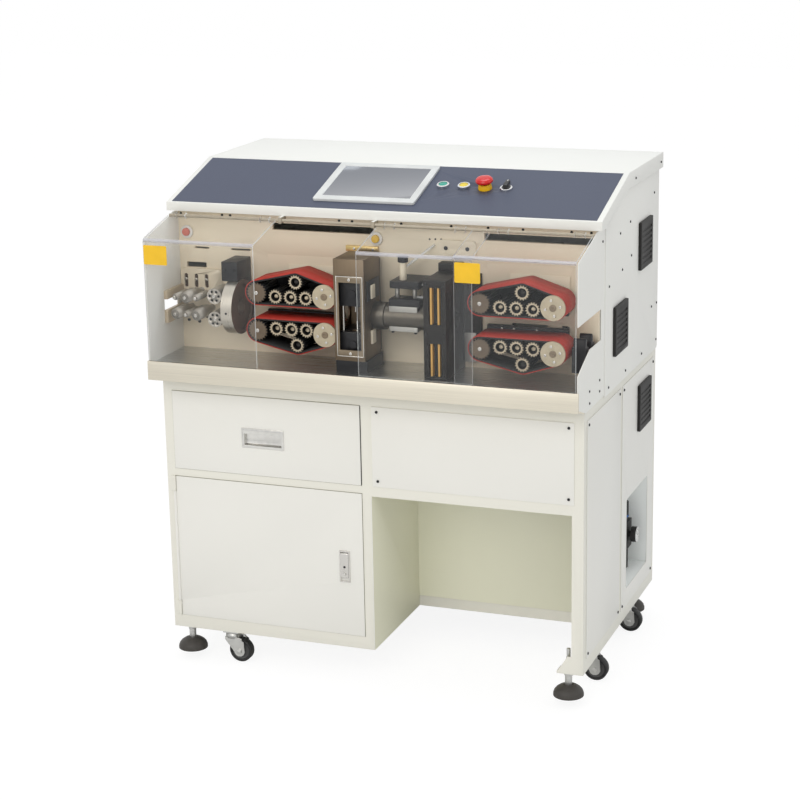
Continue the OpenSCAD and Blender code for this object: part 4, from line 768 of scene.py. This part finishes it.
# The guide ring is turned steel with a recess in each face. A black clamp block on the main plate holds it,
# with a smaller block below.
RING_LEFT, RING_RIGHT, RING_R = -386, -356, 70
RECESS_R, RECESS_D, RING_BORE = 58, 5, 22
RING_SECTION = ((RING_LEFT, RING_R), (RING_RIGHT, RING_R), (RING_RIGHT, RECESS_R),
                (RING_RIGHT - RECESS_D, RECESS_R), (RING_RIGHT - RECESS_D, RING_BORE),
                (RING_LEFT + RECESS_D, RING_BORE), (RING_LEFT + RECESS_D, RECESS_R), (RING_LEFT, RECESS_R))
BRACKET_LEFT, BRACKET_RIGHT, CLAMP_FRONT = RING_LEFT - 17, RING_RIGHT - 3, 44.5
block_black = black_steel("block_black", (0.020, 0.020, 0.022), 0.4, 0.1)
ring_steel = brushed("ring_steel", (0.56, 0.52, 0.45), (500, 30, 30), 0.3)
# Everything inside the outer rim, side faces, recesses and bore, is dark brown: painted shade and reflection
# on faces seen at a grazing angle. The rim keeps the steel.
ring_face_shade = ground_steel("ring_face_painted_shade", (0.12, 0.085, 0.06), 0.5, 0.3)
bm = bmesh.new()
revolve(bm, [spot(x, FEED_Y, FEED_Z + r) for x, r in RING_SECTION], spot(0, FEED_Y, FEED_Z), (1, 0, 0), 96,
        ring=True)
close_seams(bm)
choose(bm, lambda c, n: int(math.hypot(c.y - FEED_Y, c.z - FEED_Z) < RING_R - 1))
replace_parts(join(bm, "ring_body", [ring_steel, ring_face_shade], "machine"), "guide_ring")
bm = bmesh.new()
block(bm, (BRACKET_LEFT, CLAMP_FRONT, 1020), (BRACKET_RIGHT, PLATE_FRONT, 1070), 2.0)
block(bm, (BRACKET_LEFT, 92, 1003), (BRACKET_RIGHT, PLATE_FRONT, 1021))
block(bm, (BRACKET_LEFT, 86, 905), (RING_LEFT - 5, PLATE_FRONT, 925))
join(bm, "ring_bracket", [block_black], "machine")
seats = [((x, CLAMP_FRONT, 1048), FRONT, 4.2, 3.2) for x in (RING_LEFT - 9, RING_RIGHT - 11)]
screws("ring_bolts", screw_black, seats + [((RING_LEFT + 15, -5.5, 948), FRONT, 3.0, 1.2)])

# Belt feeders: four carriers of black plate with toothed steel idlers, and a toothed belt round each, red
# outside and black inside. The drive pulley wears a bolted steel flange, the tail pulley a toothed face. A
# beige shutter on each carrier covers the slot in the main plate behind it.
RED_LAYER, BLACK_LAYER = 0.0024, 0.0044
BRIGHT_TO, BELT_FRONT, FLANGE_FRONT, FLANGE_BACK = 33, 22, 16.5, 21.7
PULLEY_HALF, PULLEY_UP, BOLT_RING = 92, 25.2, 19
IDLER_PITCH, IDLER_UP, APEX_ACROSS, APEX_UP, IDLER_PIN = 41, 18, 14.5, 57.5, 5.2
LIP_NEAR = {"left": 13, "right": 16}
LIP_HALF, LIP_FAR = 104, 25
SHUTTER_LEFT, SHUTTER_RIGHT, SHUTTER_NEAR, SHUTTER_FAR = 48, 103, 4, 80
TAIL_TEETH, TAIL_TIP, TAIL_ROOT, TAIL_BORE = 20, 27, 21, 4.0
IDLER_TEETH, IDLER_TIP, IDLER_ROOT, IDLER_BORE = 16, 19, 14.2, 11.6
TOOTHED_T = 2.4
carrier_black = black_steel("carrier_black", (0.022, 0.022, 0.024), 0.45, 0.2)
idler_steel = ground_steel("idler_steel", (0.52, 0.44, 0.32), 0.42, 0.6)
tail_steel = ground_steel("tail_steel", (0.15, 0.11, 0.075), 0.55, 0.2)
hub_steel = ground_steel("hub_steel", (0.24, 0.185, 0.125), 0.5, 0.3)
flange_steel = ground_steel("flange_steel", (0.50, 0.43, 0.31), 0.45, 0.5)
# The idler bodies round their steel pins are near-black: painted shade in the hollows behind the toothed
# faces.
idler_hollow_shade = moulded("idler_hollow_painted_shade", (0.035, 0.032, 0.03), 0.6)
belt_red = moulded("belt_red", (0.42, 0.04, 0.028), 0.6)
belt_black = moulded("belt_black", (0.02, 0.02, 0.02), 0.6)


def toothed_face(bm, x, z, tip, root, bore, teeth):
    """A toothed washer in millimetres before the belt: pointed teeth round it and a round bore."""
    rays = []
    for k in range(2 * teeth):
        turn = math.pi * k / teeth
        rays.append([bm.verts.new(spot(x + r * math.cos(turn), BELT_FRONT, z + r * math.sin(turn)))
                     for r in (tip if k % 2 else root, bore)])
    flat = [bm.faces.new((a[0], b[0], b[1], a[1])) for a, b in zip(rays, rays[1:] + rays[:1])]
    thicken(bm, flat, (0, -TOOTHED_T / 1000, 0))
    bmesh.ops.recalc_face_normals(bm, faces=bm.faces)


def belt_layer(node, outside, made, thickness, name):
    """One layer of a belt: the outer or the inner skin of the CAD belt, thickened into the belt."""
    source = frame["nodes"][node]
    low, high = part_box(node)
    heart = (low + high) / 2
    bm = bmesh.new()
    bm.from_mesh(source.data)
    bmesh.ops.remove_doubles(bm, verts=bm.verts, dist=MERGE)
    drop = [f for f in bm.faces if abs(f.normal.y) > 0.5
            or ((f.calc_center_median() - heart).dot(f.normal) > 0) != outside]
    bmesh.ops.delete(bm, geom=drop, context="FACES")
    piece = join(bm, name, [made], source["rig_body"])
    wall = piece.modifiers.new("wall", "SOLIDIFY")
    wall.thickness = thickness
    wall.offset = -1
    return piece


for side, feed_x, run in FEEDERS:
    for position, sign in (("upper", 1), ("lower", -1)):
        unit = f"{side}_{position}"
        riding, driving, trailing = (f"{unit}_{part}" for part in ("feeder", "drive_set", "tail_set"))
        idlers = [(feed_x + IDLER_PITCH * i, FEED_Z + sign * (run + IDLER_UP)) for i in (-1, 0, 1)]
        apex = (feed_x + APEX_ACROSS, FEED_Z + sign * (run + APEX_UP))
        drive_x, tail_x, z = feed_x + PULLEY_HALF, feed_x - PULLEY_HALF, FEED_Z + sign * (run + PULLEY_UP)

        def carrier_finish(c, n):
            if c.y > BRIGHT_TO:
                return 0
            return 1 if min(math.hypot(c.x - x, c.z - up) for x, up in idlers) < IDLER_PIN else 2

        dress(f"{unit}_carrier", [carrier_black, idler_steel, idler_hollow_shade], carrier_finish, cut=BRIGHT_TO)
        low, high = sorted((FEED_Z + sign * LIP_NEAR[side], FEED_Z + sign * (run + LIP_FAR)))
        blocks(f"{unit}_carrier_lip", carrier_black,
               [((feed_x - LIP_HALF, 110.2, low), (feed_x + LIP_HALF, 123.8, high))], 2.5,
               riding)
        low, high = sorted((FEED_Z + sign * (run + SHUTTER_NEAR), FEED_Z + sign * (run + SHUTTER_FAR)))
        blocks(f"{unit}_shutter", plate_beige,
               [((feed_x - SHUTTER_LEFT, 126.4, low), (feed_x + SHUTTER_RIGHT, 128.4, high))],
               0.3, riding)
        belt = f"{unit}_belt"
        belt_layer(belt, False, belt_black, BLACK_LAYER, f"{belt}_lining")
        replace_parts(belt_layer(belt, True, belt_red, RED_LAYER, f"{belt}_cover"), belt)
        dress(f"{unit}_drive", [idler_steel, flange_steel, carrier_black],
              lambda c, n: 1 if c.y < FLANGE_BACK else 0 if c.y < BRIGHT_TO else 2, cut=BRIGHT_TO, corner=12)
        dress(f"{unit}_tail", [carrier_black])
        turns = [math.radians(90 * k + 12) for k in range(4)]
        seats = [((drive_x + BOLT_RING * math.cos(turn), FLANGE_FRONT, z + BOLT_RING * math.sin(turn)), FRONT,
                  3.6, 2.6) for turn in turns]
        screws(f"{unit}_drive_bolts", polished, seats, driving)
        screws(f"{unit}_drive_hub", hub_steel, [((drive_x, FLANGE_FRONT, z), FRONT, 9.0, 2.0)], driving)
        bm = bmesh.new()
        toothed_face(bm, tail_x, z, TAIL_TIP, TAIL_ROOT, TAIL_BORE, TAIL_TEETH)
        join(bm, f"{unit}_tail_face", [tail_steel], trailing)
        bm = bmesh.new()
        for x, up in idlers + [apex]:
            toothed_face(bm, x, up, IDLER_TIP, IDLER_ROOT, IDLER_BORE, IDLER_TEETH)
        join(bm, f"{unit}_idler_faces", [idler_steel], riding)
        screws(f"{unit}_tail_bolt", polished, [((tail_x, BELT_FRONT - TOOTHED_T, z), FRONT, 5.0, 3.0)],
               trailing)
screws("carrier_pins", polished, [((x, 110, 930), FRONT, 2.6, 6.0) for x in (322, 352, 410)],
       "right_lower_feeder")

# The blade head is a folded stainless box on a black base, with a screwed window frame. The two blade blocks
# inside are blackened and carry ground V blades.
UP_THE_HEAD = (300, 300, 8)
RIM_LEFT, RIM_RIGHT, RIM_LOW, RIM_HIGH, RIM_W = -68, 3, 861.5, 1063.5, 2
# The stainless box and its window frame are dark brown: painted reflection of the dark, warm parts round the
# head, not the steel's own colour.
head_steel_painted_reflection = brushed("head_stainless_painted_reflection", (0.19, 0.145, 0.10), UP_THE_HEAD, 0.42)
frame_steel = brushed("window_frame_painted_reflection", (0.26, 0.21, 0.15), UP_THE_HEAD, 0.36)
gold = ground_steel("gold_fitting", (0.62, 0.46, 0.20), 0.3)


def head_finish(c, n):
    if c.y < -8.1:
        return 1
    return 2 if 14 < c.y < 26 and abs(n.z) < 0.3 and -70 < c.x < -3 else 0


dress("blade_head_box", [head_steel_painted_reflection, frame_steel, polished], head_finish, edge=0.0006)
dress("blade_head_mount", [block_black, gold], lambda c, n: int(c.y > 121.5 and c.z > 1085), edge=0.0008)
for row in ("upper", "lower"):
    dress(f"{row}_blade", [block_black, polished],
          lambda c, n: int(-39 < c.x < -31 and abs(c.z - FEED_Z) < 33.2), edge=0.0006)
seats = [((-32.5, -11, z), FRONT, 4.0, 2.6) for z in (869.5, 1055.5)]
screws("head_screws", polished, seats + [((x, 122, 1106), FRONT, 3.4, 2.2) for x in (-70, -20)])
rails = [(x, RIM_LOW, x + RIM_W, RIM_HIGH) for x in (RIM_LEFT, RIM_RIGHT - RIM_W)]
rails += [(RIM_LEFT + RIM_W, z, RIM_RIGHT - RIM_W, z + RIM_W) for z in (RIM_LOW, RIM_HIGH - RIM_W)]
blocks("window_frame_rim", polished, [((x0, -12, z0), (x1, -8.2, z1)) for x0, z0, x1, z1 in rails],
       0.5)
blocks("head_side_blocks", bracket_beige, [((5, 30, z - 17), (11, 54, z + 17)) for z in (1018, 904)],
       1.2)
blocks("head_side_plate", block_black, [((5, 9, 998), (7.4, 91, 1048))])

# The guide tube is dark turned steel with a collar. Two steel saddles clamp it under a black base; posts
# carry an arm with a beige stud, from which two clear air hoses run.
SADDLE_LEFT, SADDLE_RIGHT, SADDLE_FRONT, SADDLE_BACK = 51, 125, 40, 89
STUD_X, HOSE_R, HOSE_BEND_X = 81, 3, 129
saddle_steel = ground_steel("saddle_steel", (0.42, 0.41, 0.38), 0.4, 0.7)
hose = satin("clear_hose", (0.80, 0.82, 0.82), 0.0, 60.0, 0.1, 0.12, extras={"Alpha": 0.45})
dress("guide_tube", [ground_steel("guide_steel", (0.10, 0.09, 0.075), 0.36)], edge=0.0008)
bm = bmesh.new()
block(bm, (SADDLE_LEFT, SADDLE_FRONT, 921), (SADDLE_RIGHT, SADDLE_BACK, 933))
block(bm, (SADDLE_LEFT, SADDLE_FRONT, 970), (SADDLE_RIGHT, SADDLE_BACK, 984))
block(bm, (SADDLE_LEFT, 86, 921), (SADDLE_RIGHT, 103.5, 984))
for x in (65, 111):
    rod(bm, (x, FEED_Y, 1001), (x, FEED_Y, 1030), 6)
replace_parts(join(bm, "tube_saddles", [saddle_steel], "machine"), "tube_clamp")
bm = bmesh.new()
block(bm, (SADDLE_LEFT, SADDLE_FRONT, 984), (131, SADDLE_BACK, 1002), 1.0)
block(bm, (54, SADDLE_FRONT, 1029), (130, PLATE_FRONT, 1047), 1.0)
rod(bm, (STUD_X, FEED_Y, 1091), (STUD_X, FEED_Y, 1106), 13, 1.5)
join(bm, "clamp_blocks", [block_black], "machine")
bm = bmesh.new()
rod(bm, (STUD_X, FEED_Y, 1046), (STUD_X, FEED_Y, 1092), 9)
join(bm, "clamp_stud", [bracket_beige], "machine")
bm = bmesh.new()
rod(bm, (STUD_X, FEED_Y, 1074), (141, 131, 1125), HOSE_R, 0.3, 16)
mouth = Matrix.Translation(spot(HOSE_BEND_X, FEED_Y, 1037)) @ Matrix.Rotation(math.radians(90), 4, "Y")
ring = bmesh.ops.create_circle(bm, segments=16, radius=HOSE_R / 1000, matrix=mouth)
bmesh.ops.spin(bm, geom=ring["verts"] + list({e for v in ring["verts"] for e in v.link_edges}),
               cent=spot(HOSE_BEND_X, FEED_Y, 1021), axis=(0, 1, 0), dvec=(0, 0, 0), angle=math.pi, steps=24,
               use_merge=False)
rod(bm, (111, FEED_Y, 1005), (130, FEED_Y, 1005), HOSE_R, 0.3, 16)
bmesh.ops.recalc_face_normals(bm, faces=bm.faces)
join(bm, "clamp_hoses", [hose], "machine")
seats = [((x, y, 1002), (0, 0, 1), 3.4, 3.0) for x in (58, 118) for y in (47, 82)]
screws("clamp_bolts", screw_black, seats + [((x, 47, 921), (0, 0, -1), 3.8, 5.0) for x in (58, 118)])

# The slide gantry is a black anodised upright with brass wear strips in its front slots. A block behind it
# and a small steel plate beside it are screwed to the main plate.
STRIPS, STRIP_HALF = (179.5, 198.5), 3
anodised = black_steel("black_anodised", (0.014, 0.012, 0.011), 0.42, 0.1)
brass = ground_steel("brass_strip", (0.62, 0.36, 0.10), 0.4, 0.5)


def in_strip(c, n):
    return int(-12.5 < c.y < 0.9 and any(abs(c.x - x) < STRIP_HALF for x in STRIPS) and abs(n.z) < 0.5)


dress("slide_gantry", [anodised, brass], in_strip, edge=0.0006)
screws("gantry_front_screws", screw_black,
       [((x, -13, z), FRONT, 3.4, 2.6) for z in (828, 1056, 933) for x in (167, 211)])
blocks("gantry_rear_block", anodised, [((160, 100, 1066), (218, PLATE_FRONT, 1086))], 1.0)
screws("gantry_screws", polished, [((241, 118, z), FRONT, 4.6, 4.0) for z in (867, 1002, 1051)])
blocks("gantry_side_plate", saddle_steel, [((221, 114.9, 837), (251, 117.9, 911))], 0.8)

# The exit guide is a black V block with two ears at the right end. It is milled from steel and bolted to the
# main plate.
dress("exit_guide", [block_black], edge=0.0008)

# The air regulator in its pocket behind the side window: a black body on a zinc bracket, a knob with a blue
# ring at its foot, and a round gauge with a white dial and printed marks.
GAUGE_X, GAUGE_Y, GAUGE_Z, TICK_RING = 550.6, 580, 264, 15
dial = gloss("dial_white", (0.74, 0.74, 0.72), 0.3)
dress("air_regulator", [guard_black, dial, zinc],
      lambda c, n: 1 if c.x > 550.3 and n.x > 0.99 else 2 if c.y > 605.5 else 0, edge=0.0008)
bm = bmesh.new()
for k in range(9):
    turn = math.radians(-40 + 32.5 * k)
    seat = spot(GAUGE_X, GAUGE_Y + TICK_RING * math.cos(turn), GAUGE_Z + TICK_RING * math.sin(turn))
    bmesh.ops.create_cube(bm, size=1, matrix=Matrix.Translation(seat) @ Matrix.Rotation(turn, 4, "X")
                          @ Matrix.Diagonal((0.0004, 0.004, 0.0009, 1)))
bmesh.ops.create_cube(bm, size=1, matrix=Matrix.Translation(spot(550.7, 577, 268)) @ Matrix.Rotation(
    math.radians(130), 4, "X") @ Matrix.Diagonal((0.0006, 0.016, 0.0012, 1)))
join(bm, "gauge_marks", [guard_black], "machine")
bm = bmesh.new()
bmesh.ops.create_cone(bm, cap_ends=True, segments=48, radius1=0.0206, radius2=0.0206, depth=0.006,
                      matrix=Matrix.Translation(spot(505.5, GAUGE_Y, 315)))
bmesh.ops.bevel(bm, geom=[e for e in bm.edges if e.calc_face_angle(0) > 1], offset=0.0012,
                offset_type="OFFSET", affect="EDGES", segments=3, profile=0.5, material=-1)
join(bm, "regulator_ring", [moulded("ring_blue", (0.03, 0.10, 0.30), 0.4)], "machine")
